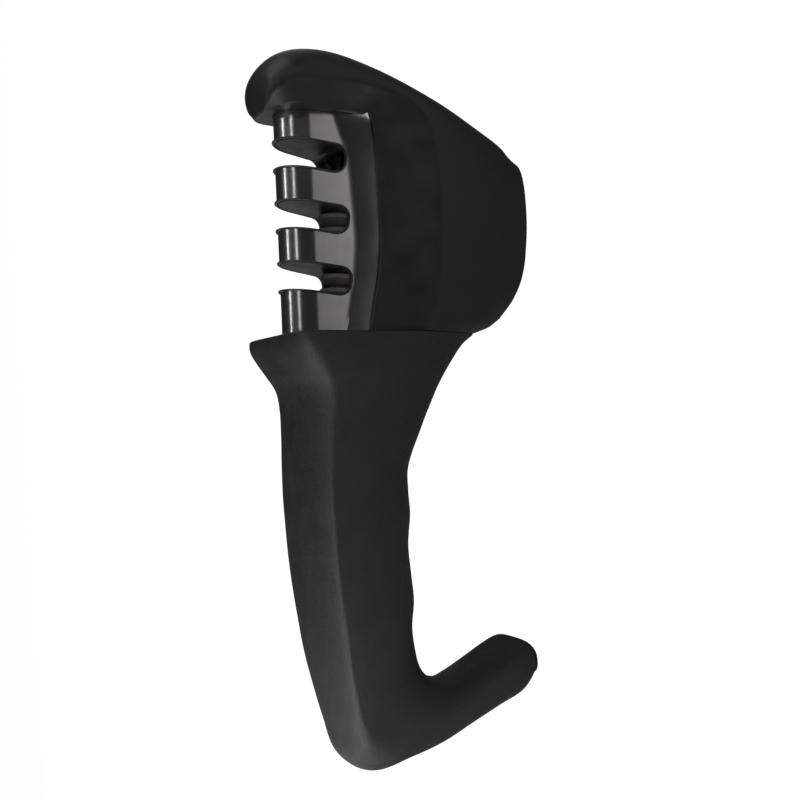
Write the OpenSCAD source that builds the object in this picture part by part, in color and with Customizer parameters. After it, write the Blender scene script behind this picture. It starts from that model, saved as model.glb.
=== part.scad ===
// Three-stage pull-through knife sharpener with a hooked handle.
// It stands on its base pad and on the tip of the hook, with the slots facing up.
// X runs from the tail to the nose, Y across, Z up. The origin is at the middle of the footprint.

/* [Overall] */
// Length from the nose to the tail
body_l = 217; // [205:1:230]
// Width across the flared base
body_w = 53; // [50:0.5:56]
// Height to the top of the nose
body_h = 78; // [75:0.5:82]

/* [Head] */
// Wall of the head housing
wall_t = 2.2; // [1.8:0.1:2.6]
// Thickness of the deck that carries the slot block
deck_t = 2.2; // [1.8:0.1:2.4]
// Thickness of the plate that closes the base
base_t = 2; // [1.6:0.1:2.4]
// Thickness of the rubber pads
pad_t = 1.2; // [1:0.1:1.5]
// Height of the base edge over the surface that it stands on
skirt_lift = 0.5; // [0.3:0.1:0.8]

/* [Cover] */
// Thickness of the steel sheet
sheet_t = 0.6; // [0.5:0.1:0.8]
// How far the cover tucks in under the hood
cover_tuck = 2.6; // [2:0.1:3.2]

/* [Slots] */
// Clear width of each slot
slot_w = 6.6; // [6.4:0.1:7]
// Depth of each slot under the top of the cover
slot_depth = 17.1; // [16.8:0.1:17.6]
// Lean of the slots towards the nose, in degrees
slot_lean = 11; // [9:1:12]
// Wall of the slot block
block_t = 1.8; // [1.6:0.1:2]
// Width of the black rim round each slot
rim_w = 0.9; // [0.7:0.1:1]
// How far the rim stands proud of the steel
rim_proud = 0.4; // [0.3:0.1:0.5]

/* [Stages] */
// Radius of the sharpening wheels
wheel_r = 9; // [8.8:0.1:9.1]
// Thickness of one wheel
wheel_t = 2.9; // [2.6:0.1:2.9]
// Height of the wheels over the slot floor
wheel_rise = 4; // [3.6:0.1:4.2]
// Radius of the wheel axles
axle_r = 1.5; // [1.3:0.1:1.6]
// Radial running gap between a hub and its axle
run_gap = 0.05; // [0.03:0.01:0.08]
// Thickness of the cheeks that hold the axles
cheek_t = 2; // [1.8:0.1:2.2]
// Thickness of a carbide plate
blade_t = 1.5; // [1.3:0.1:1.6]
// Lean of each carbide plate, in degrees
blade_lean = 20; // [18:1:21]

/* [Handle] */
// Thickness of the soft skin round the handle's core
skin_t = 1.8; // [1.5:0.1:2.1]
// Wall of the two hard core shells
core_t = 2; // [1.7:0.1:2.3]
// Outer radius of the brass inserts
insert_r = 2.2; // [2:0.1:2.4]

/* [Hidden] */
$fn = 48;

// Gap between curved pieces that only lie beside each other
soft_gap = 0.2;
// Gap round a piece that is pushed or screwed into its seat
seat_gap = 0.05;
// How far a cut runs past the face it opens
over = 1;
// Narrowest strip left along the middle line of a closed nose or handle end
strip_w = 0.3;

// Ribs of the head, from the hood's top round the nose and back along the base to the seam.
// Each row: inner end X and Z, outer end X and Z, then the share of the rib at which the side
// ridge lies, the half widths at the inner end, at the ridge and beyond it, then how far the
// outer end closes (1 is closed) and how square it is. X follows body_l, Z body_h, widths body_w.
head_rib_shares = [
    [0.412, 0.967, 0.415, 0.976, 0.40, 0.075, 0.084, 0.092, 1.00, 2.4],
    [0.413, 0.957, 0.436, 0.987, 0.35, 0.132, 0.160, 0.172, 1.00, 2.3],
    [0.414, 0.939, 0.466, 0.979, 0.36, 0.190, 0.234, 0.254, 1.00, 2.2],
    [0.414, 0.904, 0.487, 0.932, 0.37, 0.236, 0.286, 0.308, 1.00, 2.1],
    [0.413, 0.856, 0.4975, 0.868, 0.38, 0.253, 0.316, 0.338, 1.00, 2.15],
    [0.410, 0.795, 0.5005, 0.787, 0.38, 0.251, 0.332, 0.354, 1.00, 2.2],
    [0.408, 0.731, 0.496, 0.697, 0.40, 0.247, 0.343, 0.368, 1.00, 2.25],
    [0.405, 0.667, 0.483, 0.596, 0.43, 0.252, 0.357, 0.385, 1.00, 2.35],
    [0.400, 0.623, 0.464, 0.490, 0.48, 0.278, 0.379, 0.407, 1.00, 2.55],
    [0.392, 0.600, 0.439, 0.376, 0.55, 0.302, 0.409, 0.437, 1.00, 2.8],
    [0.384, 0.592, 0.411, 0.247, 0.53, 0.302, 0.425, 0.456, 1.00, 3.3],
    [0.374, 0.590, 0.379, 0.124, 0.44, 0.302, 0.438, 0.473, 1.00, 4.3],
    [0.362, 0.588, 0.354, 0.040, 0.38, 0.302, 0.443, 0.485, 1.00, 5.6],
    [0.350, 0.588, 0.339, 0.010, 0.37, 0.302, 0.445, 0.492, 0.95, 6.0],
    [0.340, 0.588, 0.330, 0.000, 0.37, 0.302, 0.446, 0.498, 0.60, 5.5],
    [0.328, 0.588, 0.319, 0.000, 0.37, 0.302, 0.447, 0.503, 0.25, 4.5],
    [0.302, 0.588, 0.299, 0.000, 0.37, 0.302, 0.449, 0.507, 0.06, 4.0],
    [0.270, 0.588, 0.270, 0.000, 0.37, 0.302, 0.449, 0.509, 0.01, 3.0],
    [0.233, 0.591, 0.233, 0.000, 0.37, 0.302, 0.443, 0.497, 0.00, 2.5],
    [0.196, 0.603, 0.195, 0.000, 0.37, 0.302, 0.428, 0.462, 0.00, 2.2],
    [0.168, 0.619, 0.166, 0.000, 0.38, 0.302, 0.413, 0.432, 0.12, 2.2],
    [0.145, 0.636, 0.140, 0.000, 0.39, 0.302, 0.398, 0.412, 0.46, 2.1],
    [0.127, 0.649, 0.119, 0.000, 0.38, 0.302, 0.386, 0.394, 0.82, 2.0],
    [0.115, 0.656, 0.104, 0.025, 0.37, 0.302, 0.378, 0.384, 1.00, 2.0],
    [0.107, 0.661, 0.097, 0.075, 0.37, 0.302, 0.372, 0.377, 1.00, 1.9],
    [0.1006, 0.665, 0.0919, 0.130, 0.40, 0.302, 0.366, 0.370, 1.00, 1.9]];

// Ribs of the handle, from the seam to the tip of the hook. Each row: lower or inner end X and Z,
// upper or outer end X and Z, half width, the share of the rib at which it is widest, and how
// square the section is below and above that. X follows body_l, Z body_h, widths body_w.
handle_rib_shares = [
    [0.0914, 0.115, 0.1058, 0.998, 0.452, 0.86, 2.1, 5.6],
    [0.077, 0.176, 0.087, 1.000, 0.450, 0.87, 2.1, 4.6],
    [0.048, 0.250, 0.053, 0.960, 0.428, 0.87, 2.2, 3.0],
    [0.021, 0.308, 0.030, 0.932, 0.402, 0.87, 2.3, 2.5],
    [-0.007, 0.357, 0.002, 0.924, 0.384, 0.87, 2.4, 2.4],
    [-0.035, 0.403, -0.035, 0.927, 0.372, 0.88, 2.5, 2.3],
    [-0.088, 0.480, -0.080, 0.935, 0.362, 0.88, 2.6, 2.2],
    [-0.124, 0.491, -0.122, 0.940, 0.360, 0.88, 2.6, 2.2],
    [-0.158, 0.491, -0.159, 0.940, 0.359, 0.88, 2.6, 2.2],
    [-0.200, 0.510, -0.210, 0.937, 0.356, 0.88, 2.6, 2.2],
    [-0.242, 0.507, -0.256, 0.930, 0.352, 0.88, 2.6, 2.2],
    [-0.279, 0.503, -0.302, 0.921, 0.344, 0.87, 2.6, 2.2],
    [-0.316, 0.519, -0.348, 0.908, 0.330, 0.87, 2.6, 2.2],
    [-0.353, 0.510, -0.394, 0.890, 0.306, 0.86, 2.6, 2.2],
    [-0.380, 0.489, -0.442, 0.869, 0.276, 0.85, 2.6, 2.2],
    [-0.398, 0.450, -0.484, 0.834, 0.262, 0.80, 2.6, 2.3],
    [-0.407, 0.392, -0.5025, 0.748, 0.258, 0.70, 2.7, 2.4],
    [-0.409, 0.330, -0.505, 0.632, 0.256, 0.60, 2.8, 2.5],
    [-0.401, 0.248, -0.496, 0.480, 0.256, 0.55, 3.0, 2.7],
    [-0.390, 0.165, -0.477, 0.328, 0.256, 0.50, 3.2, 3.0],
    [-0.378, 0.084, -0.459, 0.186, 0.256, 0.50, 3.4, 3.2],
    [-0.370, 0.036, -0.448, 0.074, 0.255, 0.50, 3.0, 2.8],
    [-0.369, 0.014, -0.427, 0.014, 0.250, 0.50, 2.7, 2.6]];

// Steps between two ribs, and points along a rib on each side of its ridge
rib_steps = 2;
scoop_steps = 4;
skirt_steps = 7;
side_steps = 7;
core_steps = 4;

// Shares of the head's table between which its flat base lies, and between which it is hollow
head_rows = len(head_rib_shares) - 1;
base_first_share = 0.520;
base_last_share = 0.888;
hollow_first_share = 0.120;
hollow_last_share = 0.900;
// Shares of the handle's table between which its hard core lies, and between which that is hollow
handle_rows = len(handle_rib_shares) - 1;
core_first_share = 0.025;
core_last_share = 0.982;
core_hollow_first_share = 0.064;
core_hollow_last_share = 0.886;

// The seam between the head and the handle, which leans forward, and the hood's rear edge
seam_x = 0.099*body_l;
seam_lean_share = 0.0451;
function seam_at(z) = seam_x + seam_lean_share*(z - 0.571*body_h);
hood_x = 0.411*body_l;
// The cover's ends
cover_x0 = seam_x + soft_gap;
cover_x1 = hood_x + cover_tuck;
// Radius of the arched steel cover, and the distance from slot to slot
cover_r = 0.2358*body_w;
slot_pitch = 0.0848*body_l;
// The middle slot, on its floor line
mid_x = 0.2575*body_l;
// The arch's axis: its height at the middle slot and its fall towards the nose, in degrees
arch_z = 0.762*body_h;
arch_fall = 2.2;
function arch_at(x) = arch_z - tan(arch_fall)*(x - mid_x);

// The deck's top and the half width of the seat in it
deck_z = 0.587*body_h;
seat_half = 1.13*cover_r;
// Ribs of the cover: X along the cover, the height at which its sides start to flare, the height
// of its lower edge, and the half width there
cover_rib_shares = [
    [0.000, 0.736, 0.6670, 0.301],
    [0.130, 0.706, 0.6400, 0.301],
    [0.260, 0.680, 0.6120, 0.302],
    [0.400, 0.662, 0.5940, 0.302],
    [0.580, 0.662, 0.5885, 0.302],
    [0.760, 0.670, 0.5885, 0.302],
    [0.900, 0.705, 0.6010, 0.302],
    [1.000, 0.730, 0.6120, 0.262]];
cover_steps = 2;
// Folded tabs of the cover: places as shares of its length, and their size
tab_shares = [0.370, 0.500, 0.630, 0.750];
tab_l = 3;
tab_h = 4;
flare_steps = 4;
arch_steps = 14;

// Corner radius of a slot's floor, and the stages: 1 is the one nearest the nose
slot_corner = 2.5;
stage_list = [1, 0, -1];
function stage_x(k) = mid_x + k*slot_pitch;
function stage_z(k) = arch_at(stage_x(k)) + cover_r - slot_depth;

// Slot block
block_r = cover_r - sheet_t - soft_gap;
block_x0 = seam_at(arch_z + cover_r) + 2*soft_gap;
block_x1 = cover_x1 - over;
flange_t = 1.4;
flange_half = seat_half - soft_gap;
well_half = block_r - block_t;
boss_r = 2.2;
boss_y = 5.6;
boss_x0 = block_x0 + block_t + 0.8*boss_r;
boss_x1 = block_x1 - block_t - 0.8*boss_r;
boss_x_list = [boss_x0, boss_x1];

// Screws: radius of the shank, and radius and height of the head, in three sizes
screw_r = 1.25;
screw_head_r = 2.5;
screw_head_t = 1.8;
mid_r = 1;
mid_head_r = 1.9;
mid_head_t = 1.4;
tiny_r = 0.8;
tiny_head_r = 1.5;
tiny_head_t = 1;
drive_share = 0.35;

// Stage chassis
chassis_t = 2.2;
chassis_half = well_half + block_t;
chassis_z = deck_z - deck_t;
chassis_x0 = boss_x0 - boss_r;
chassis_l = boss_x1 - boss_x0 + 2*boss_r;
trough_t = 1.6;
trough_half = wheel_r + 0.08*wheel_r;
trough_x0 = boss_x0 + boss_r + trough_t + soft_gap;
trough_x1 = boss_x1 - boss_r - trough_t - soft_gap;
trough_z = stage_z(1) + wheel_rise - 2*wheel_r - over;
trough_l = trough_x1 - trough_x0;
trough_deep = chassis_z - trough_z;
cheek_half = 0.55*wheel_r;
snap_share = 0.88;

// Wheels and hubs
wheel_split = 0.1;
hub_r = 2*axle_r;
hub_half = wheel_split + wheel_t + 2*seat_gap;
groove_deep = 0.45*wheel_r;
groove_half = 0.5*wheel_t;
wheel_edge = 0.1*wheel_t;
cheek_x = hub_half + 2*seat_gap;
axle_half = cheek_x + cheek_t - seat_gap;
axle_z = wheel_rise - wheel_r;
bed_z = -block_t - soft_gap;

// Carbide stage
blade_w = 2;
blade_up = 3.6;
blade_down = 8.4;
blade_cross = -1.2;
holder_half = hub_half + cheek_t - soft_gap;
holder_deep = 6;
clamp_deep = 2.6;
clamp_down = 11;
tiny_x = 0.66*holder_half;
tiny_z = -5.6;

// Base screws: places as shares of the length and the width, and the tops of their pillars
pillar_r = 3;
pillar_shares = [[0.290, 0.312, 0.460], [0.168, 0.276, 0.505]];
pillar_deep = 10;
gusset_t = 0.7*wall_t;
gusset_l = 0.108*body_w;

// Screws between the head and the handle: places as shares of the width and the height
joint_shares = [[0.200, 0.480], [0.122, 0.350]];
joint_boss_r = insert_r + 0.7*core_t;
joint_boss_l = 9;
joint_seat_x = seam_x + 1.4*wall_t;
function joint_x(p) = seam_at(p[1]*body_h - joint_boss_r) - seat_gap;
joint_reach = 10;
insert_l = 7;

// Screws through the handle's core: places as shares of the length and the height
core_screw_shares = [[-0.055, 0.690], [-0.260, 0.715], [-0.405, 0.690]];
core_boss_r = 3.4;
core_head_y = 0.16*body_w;
core_screw_l = 0.34*body_w;
half_gap = 0.05;

// A smooth value between the second and the third of four rows
function blend4(a, b, c, d, t) =
    0.5*(2*b + (c - a)*t + (2*a - 5*b + 4*c - d)*t*t + (3*b - a - 3*c + d)*t*t*t);

// The row of a table at a place between 0 and its last index
function row_at(rows, u) =
    let (last = len(rows) - 1, i = min(floor(u), last - 1), t = u - i)
    blend4(rows[max(i - 1, 0)], rows[i], rows[i + 1], rows[min(i + 2, last)], t);

function clamp01(v) = min(max(v, 0), 1);
function unit2(v) = v/norm(v);

// One face list for rings of n points that follow each other, with flat ends
function skin_faces(rings, n) = concat(
    [[for (j = [0:n - 1]) j]],
    [for (i = [0:rings - 2], j = [0:n - 1]) let (k = (j + 1)%n)
        [i*n + j, (i + 1)*n + k, i*n + k]],
    [for (i = [0:rings - 2], j = [0:n - 1]) let (k = (j + 1)%n)
        [i*n + j, (i + 1)*n + j, (i + 1)*n + k]],
    [[for (j = [n - 1:-1:0]) (rings - 1)*n + j]]);

module loft(rings) {
    n = len(rings[0]);
    polyhedron(points = [for (r = rings) each r], faces = skin_faces(len(rings), n), convexity = 8);
}

// Half width of the head at share v of rib row r
function head_half(r, v) =
    let (q = r[4], s = clamp01((v - q)/(1 - q)),
        shut = pow(max(1 - clamp01(r[8])*pow(s, r[9]), 0), 1/r[9]))
    body_w*(v < q ? r[5] + (r[6] - r[5])*pow(v/q, 1.2) : (r[6] + (r[7] - r[6])*s)*shut);

// Shares along a rib: even steps up to the ridge, then steps that crowd towards the outer end
function head_shares(q) = concat(
    [for (k = [0:scoop_steps]) q*k/scoop_steps],
    [for (k = [1:skirt_steps]) q + (1 - q)*(1 - pow(1 - k/skirt_steps, 2))]);

// The ends of a head rib in X and Z
function rib_inner(r) = [r[0]*body_l, r[1]*body_h];
function rib_outer(r) = [r[2]*body_l, max(r[3]*body_h, skirt_lift)];

// A ring of the head round one rib, drawn in by a wall; open rows run down past the base
function head_ring(r, wall) =
    let (a0 = rib_inner(r), b0 = rib_outer(r), d = unit2(b0 - a0), flat = wall > 0 ? 1 - clamp01(r[8]) : 0,
        a = a0 + wall*d, b = b0 - (1 - flat)*wall*d + flat*(over + skirt_lift)*d,
        side = [for (v = head_shares(r[4])) [a + (b - a)*v, max(head_half(r, v) - wall, strip_w/2)]])
    concat([for (p = side) [p[0][0], p[1], p[0][1]]],
        [for (k = [len(side) - 1:-1:0]) [side[k][0][0], -side[k][1], side[k][0][1]]]);

module head_loft() {
    count = head_rows*rib_steps;
    loft([for (i = [0:count]) head_ring(row_at(head_rib_shares, i/rib_steps), 0)]);
}

// The head's inside, with coarser steps
module head_hollow() {
    first = hollow_first_share*head_rows;
    span = (hollow_last_share - hollow_first_share)*head_rows;
    count = round(span);
    loft([for (i = [0:count]) head_ring(row_at(head_rib_shares, first + span*i/count), wall_t)]);
}

// A ring of the handle round one rib, drawn in by a wall
function handle_ring(r, wall, steps) =
    let (a0 = [r[0]*body_l, r[1]*body_h], b0 = [r[2]*body_l, r[3]*body_h], d = unit2(b0 - a0),
        a = a0 + wall*d, b = b0 - wall*d, half = max(r[4]*body_w - wall, strip_w), top = r[5],
        low = [for (k = [0:steps]) let (f = 90*k/steps)
            [top - top*pow(cos(f), 2/r[6]), pow(sin(f), 2/r[6])]],
        high = [for (k = [1:steps - 1]) let (f = 90*k/steps)
            [top + (1 - top)*pow(sin(f), 2/r[7]), pow(cos(f), 2/r[7])]],
        side = concat(low, high, [[1, 0]]))
    concat([for (p = side) let (m = a + (b - a)*p[0]) [m[0], half*p[1], m[1]]],
        [for (k = [len(side) - 2:-1:1]) let (m = a + (b - a)*side[k][0]) [m[0], -half*side[k][1], m[1]]]);

module handle_loft() {
    count = handle_rows*rib_steps;
    loft([for (i = [count:-1:0]) handle_ring(row_at(handle_rib_shares, i/rib_steps), 0, side_steps)]);
}

// The handle's inside between two shares of its table, drawn in by a wall, with coarser steps
module core_loft(wall, from, to) {
    span = (to - from)*handle_rows;
    count = round(span);
    loft([for (i = [count:-1:0])
        handle_ring(row_at(handle_rib_shares, from*handle_rows + span*i/count), wall, core_steps)]);
}

// A ring of the cover at share u of its length, its surface drawn in by t
function cover_ring(u, t) =
    let (last = len(cover_rib_shares) - 1, r = row_at(cover_rib_shares, u*last),
        x = cover_x0 + (cover_x1 - cover_x0)*r[0], zc = arch_at(x), zf = r[1]*body_h, ze = r[2]*body_h,
        half = r[3]*body_w,
        flare = [for (k = [0:flare_steps]) let (s = k/flare_steps)
            [cover_r + (half - cover_r)*pow(1 - s, 1.7) - t, ze + (zf - ze)*s]],
        arch = [for (k = [0:arch_steps]) let (f = 180*k/arch_steps)
            [(cover_r - t)*cos(f), zc + (cover_r - t)*sin(f)]],
        low = t > 0 ? [[flare[0][0], flare[0][1] - over]] : [])
    concat([for (p = concat(low, flare, arch)) [x, p[0], p[1]]],
        [for (k = [flare_steps:-1:0]) [x, -flare[k][0], flare[k][1]]], [for (p = low) [x, -p[0], p[1]]]);

module cover_loft(t, past) {
    count = (len(cover_rib_shares) - 1)*cover_steps;
    loft([for (i = [0:count]) [for (p = cover_ring(i/count, t))
        [i == 0 ? seam_at(p[2]) + soft_gap - past : i == count ? p[0] + past : p[0], p[1], p[2]]]]);
}

// A prism of the arch's section between two places along it, down to the deck
module arch_prism(r, x0, x1) {
    translate([mid_x, 0, arch_z])
        rotate([0, arch_fall, 0])
            translate([x0 - mid_x, 0, 0]) {
                rotate([0, 90, 0]) cylinder(r = r, h = x1 - x0);
                translate([0, -r, -body_h]) cube([x1 - x0, 2*r, body_h]);
            }
}

// The place and lean of a stage, with its origin in the middle of the slot's floor
module at_stage(k) {
    translate([stage_x(k), 0, stage_z(k)]) rotate([0, slot_lean, 0]) children();
}

// A slot's cut right across, grown by g on its sides and floor
module slot_cut(g, reach) {
    w = slot_w + 2*g;
    c = slot_corner + g;
    translate([0, reach, -g])
        rotate([90, 0, 0])
            linear_extrude(height = 2*reach) {
                translate([-w/2, c]) square([w, slot_depth + cover_r]);
                translate([c - w/2, 0]) square([w - 2*c, 2*c]);
                for (s = [-1, 1]) translate([s*(w/2 - c), c]) circle(r = c);
            }
}

// A screw with its head's seat at z = 0 and its shank going up
module screw(r, head_r, head_t, reach) {
    difference() {
        union() {
            cylinder(r = r, h = reach);
            translate([0, 0, -head_t]) cylinder(r = head_r, h = head_t);
        }
        for (a = [0, 90]) rotate([0, 0, a])
            translate([-head_r*drive_share, -head_r*drive_share/4, -head_t - over])
                cube([2*head_r*drive_share, head_r*drive_share/2, over + head_t/2]);
    }
}

// A pillar for a base screw, wider towards its top, with a gusset to the side wall
module pillar(p, s) {
    top = p[2]*body_h;
    translate([p[0]*body_l, s*p[1]*body_w, 0]) {
        hull() {
            translate([0, 0, pad_t + base_t]) cylinder(r = pillar_r, h = over, $fn = 32);
            translate([0, 0, top - over]) cylinder(r = 1.1*pillar_r, h = over, $fn = 32);
        }
        hull() {
            translate([0, 0, 0.2*top]) cylinder(r = gusset_t/2, h = 0.6*top, $fn = 16);
            translate([0, s*gusset_l, 0.25*top]) cylinder(r = gusset_t/2, h = 0.4*top, $fn = 16);
        }
    }
}

module head_housing() {
    color("#242425")
        difference() {
            union() {
                difference() {
                    head_loft();
                    head_hollow();
                }
                for (p = pillar_shares, s = [-1, 1]) pillar(p, s);
            }
            cover_loft(-soft_gap, soft_gap);
            translate([seam_x - over, -seat_half, deck_z])
                cube([cover_x1 + soft_gap - seam_x + over, 2*seat_half, flange_t + soft_gap]);
            translate([seam_x - over, -block_r - soft_gap, deck_z])
                cube([block_x1 + soft_gap - seam_x + over, 2*(block_r + soft_gap), cover_r]);
            translate([block_x0, -well_half, deck_z - deck_t - over])
                cube([block_x1 - block_x0, 2*well_half, deck_t + 2*over]);
            translate([chassis_x0 - soft_gap, -chassis_half - soft_gap, chassis_z - chassis_t - 2*mid_head_t])
                cube([chassis_l + 2*soft_gap, 2*(chassis_half + soft_gap), chassis_t + 2*mid_head_t]);
            translate([0, 0, -over]) linear_extrude(height = over + pad_t + base_t) base_outline(0.8*wall_t);
            for (p = pillar_shares, s = [-1, 1])
                translate([p[0]*body_l, s*p[1]*body_w, pad_t])
                    cylinder(r = screw_r + seat_gap, h = base_t + pillar_deep);
            for (p = joint_shares, s = [-1, 1])
                translate([seam_x - over, s*p[0]*body_w, p[1]*body_h]) rotate([0, 90, 0]) {
                    cylinder(r = screw_r + seat_gap, h = joint_reach);
                    translate([0, 0, joint_seat_x - seam_x + over])
                        cylinder(r = screw_head_r + soft_gap, h = joint_reach);
                }
        }
}

// The outline of the flat base, drawn in by g
module base_outline(g) {
    first = base_first_share*head_rows;
    span = (base_last_share - base_first_share)*head_rows;
    count = round(span*rib_steps);
    rows = [for (i = [0:count]) row_at(head_rib_shares, first + span*i/count)];
    side = [for (r = rows) [rib_outer(r)[0], head_half(r, 1)]];
    offset(delta = -g)
        polygon(concat(side, [for (k = [len(side) - 1:-1:0]) [side[k][0], -side[k][1]]]));
}

module base_plate() {
    color("#1f1f20")
        difference() {
            translate([0, 0, pad_t]) linear_extrude(height = base_t) base_outline(0.8*wall_t + soft_gap);
            for (p = pillar_shares, s = [-1, 1])
                translate([p[0]*body_l, s*p[1]*body_w, pad_t - over]) {
                    cylinder(r = screw_r + seat_gap, h = base_t + 2*over);
                    cylinder(r = screw_head_r + seat_gap, h = base_t/2 + over);
                }
        }
}

module base_pad() {
    color("#151516")
        linear_extrude(height = pad_t) base_outline(0.8*wall_t + soft_gap + pad_t);
}

module base_screws() {
    color("#8a8c90")
        for (p = pillar_shares, s = [-1, 1])
            translate([p[0]*body_l, s*p[1]*body_w, pad_t + base_t/2])
                screw(screw_r, screw_head_r, base_t/2 - seat_gap, base_t/2 + pillar_deep - over);
}

// A folded tab of the cover on side s, which stands on the slot block's flange
module cover_tab(x, s) {
    y = s*(cover_r - sheet_t/2);
    low = deck_z + flange_t + seat_gap;
    hull() {
        translate([x - tab_l/2, y - sheet_t/4, low + tab_h])
            cube([tab_l, sheet_t/2, sheet_t]);
        translate([x - 0.4*tab_l, y - 0.4*sheet_t, low])
            cube([0.8*tab_l, 0.8*sheet_t, sheet_t]);
    }
}

module steel_cover() {
    color("#b9b6b4")
        difference() {
            union() {
                difference() {
                    cover_loft(0, 0);
                    cover_loft(sheet_t, over);
                }
                for (p = tab_shares, s = [-1, 1]) cover_tab(cover_x0 + p*(cover_x1 - cover_x0), s);
            }
            for (k = stage_list) at_stage(k) slot_cut(rim_w + seat_gap, body_w);
        }
}

module slot_block() {
    color("#161617")
        difference() {
            union() {
                arch_prism(block_r, block_x0, block_x1);
                for (k = stage_list)
                    intersection() {
                        arch_prism(cover_r + rim_proud, block_x0, block_x1);
                        at_stage(k) slot_cut(rim_w, body_w);
                    }
                translate([block_x0, -flange_half, deck_z])
                    cube([block_x1 - block_x0, 2*flange_half, flange_t]);
            }
            difference() {
                arch_prism(well_half, block_x0 + block_t, block_x1 - block_t);
                for (k = stage_list) at_stage(k) slot_cut(block_t, body_w);
                for (x = boss_x_list, s = [-1, 1])
                    translate([x, s*boss_y, 0]) cylinder(r = boss_r, h = body_h);
            }
            for (k = stage_list) at_stage(k) {
                slot_cut(0, body_w);
                translate([-slot_w/2, -trough_half, -block_t - over])
                    cube([slot_w, 2*trough_half, block_t + over + slot_corner]);
            }
            for (x = boss_x_list, s = [-1, 1])
                translate([x, s*boss_y, 0]) cylinder(r = mid_r + seat_gap, h = deck_z + pillar_deep);
            difference() {
                translate([0, -body_w, -body_h]) cube([body_l, 2*body_w, body_h + deck_z]);
                for (x = boss_x_list, s = [-1, 1])
                    translate([x, s*boss_y, chassis_z]) cylinder(r = boss_r, h = body_h);
            }
        }
}

// An upright plate across the chassis on side s of a stage, from x on
module upright(s, x, high) {
    translate([s*(x + cheek_t/2) - cheek_t/2, -cheek_half, -2*wheel_r]) cube([cheek_t, 2*cheek_half, high]);
}

// A cheek that holds one end of an axle in a snap seat, on side s of its stage
module cheek(s) {
    difference() {
        upright(s, cheek_x, 2*wheel_r + bed_z);
        translate([s*(cheek_x + cheek_t/2) - cheek_t, 0, axle_z]) {
            rotate([0, 90, 0]) cylinder(r = axle_r + seat_gap, h = 2*cheek_t);
            translate([0, -axle_r*snap_share, 0]) cube([2*cheek_t, 2*axle_r*snap_share, wheel_r]);
        }
    }
}

module stage_chassis() {
    color("#303236")
        difference() {
            union() {
                difference() {
                    union() {
                        translate([chassis_x0, -chassis_half, chassis_z - chassis_t])
                            cube([chassis_l, 2*chassis_half, chassis_t]);
                        translate([trough_x0 - trough_t, -trough_half - trough_t, trough_z - trough_t])
                            cube([trough_l + 2*trough_t, 2*(trough_half + trough_t), trough_deep + trough_t]);
                    }
                    translate([trough_x0, -trough_half, trough_z])
                        cube([trough_l, 2*trough_half, trough_deep + over]);
                }
                intersection() {
                    union() {
                        for (k = [0, -1], s = [-1, 1]) at_stage(k) cheek(s);
                        for (s = [-1, 1]) at_stage(1) upright(s, holder_half + seat_gap, wheel_r);
                    }
                    translate([0, -body_w, trough_z - trough_t]) cube([body_l, 2*body_w, body_h]);
                }
            }
            for (x = boss_x_list, s = [-1, 1])
                translate([x, s*boss_y, 0]) cylinder(r = mid_r + seat_gap, h = deck_z);
        }
}

module chassis_screws() {
    color("#8a8c90")
        for (x = boss_x_list, s = [-1, 1])
            translate([x, s*boss_y, chassis_z - chassis_t])
                screw(mid_r, mid_head_r, mid_head_t, chassis_t + deck_t + pillar_deep - over);
}

// One carbide plate, on side s, with its edge crossing the other's over the slot floor
module carbide_plate(s) {
    color("#7b7a7c")
        at_stage(1)
            translate([0, s > 0 ? -blade_t - seat_gap : seat_gap, blade_cross])
                rotate([0, s*blade_lean, 0])
                    translate([s > 0 ? 0 : -blade_w, 0, -blade_down])
                        cube([blade_w, blade_t, blade_down + blade_up]);
}

module carbide_plate_near() { carbide_plate(1); }
module carbide_plate_far() { carbide_plate(-1); }

module carbide_screw_bores(r) {
    for (s = [-1, 1])
        translate([s*tiny_x, -body_w/2, tiny_z])
            rotate([-90, 0, 0]) cylinder(r = r, h = body_w/2 + blade_t + holder_deep - over);
}

module carbide_holder() {
    color("#3a3c40")
        intersection() {
            at_stage(1)
                difference() {
                    translate([-holder_half, blade_t + 2*seat_gap, -2*wheel_r])
                        cube([2*holder_half, holder_deep, 2*wheel_r + bed_z]);
                    carbide_screw_bores(tiny_r + seat_gap);
                }
            translate([0, -body_w, trough_z]) cube([body_l, 2*body_w, body_h]);
        }
}

module carbide_clamp() {
    color("#8f9194")
        at_stage(1)
            difference() {
                translate([-holder_half, -blade_t - 2*seat_gap - clamp_deep, -clamp_down])
                    cube([2*holder_half, clamp_deep, clamp_down + bed_z]);
                carbide_screw_bores(tiny_r + seat_gap);
            }
}

module carbide_screws() {
    color("#8a8c90")
        at_stage(1)
            for (s = [-1, 1])
                translate([s*tiny_x, -blade_t - 2*seat_gap - clamp_deep, tiny_z])
                    rotate([-90, 0, 0])
                        screw(tiny_r, tiny_head_r, tiny_head_t,
                            clamp_deep + 2*blade_t + holder_deep - 2*over);
}

// The wheel set's pieces for stage k
module axle(k) {
    at_stage(k)
        translate([-axle_half, 0, axle_z]) rotate([0, 90, 0]) cylinder(r = axle_r, h = 2*axle_half);
}

module hub(k) {
    at_stage(k)
        translate([-hub_half, 0, axle_z]) rotate([0, 90, 0])
            difference() {
                cylinder(r = hub_r, h = 2*hub_half);
                translate([0, 0, -over]) cylinder(r = axle_r + run_gap, h = 2*(hub_half + over));
            }
}

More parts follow.
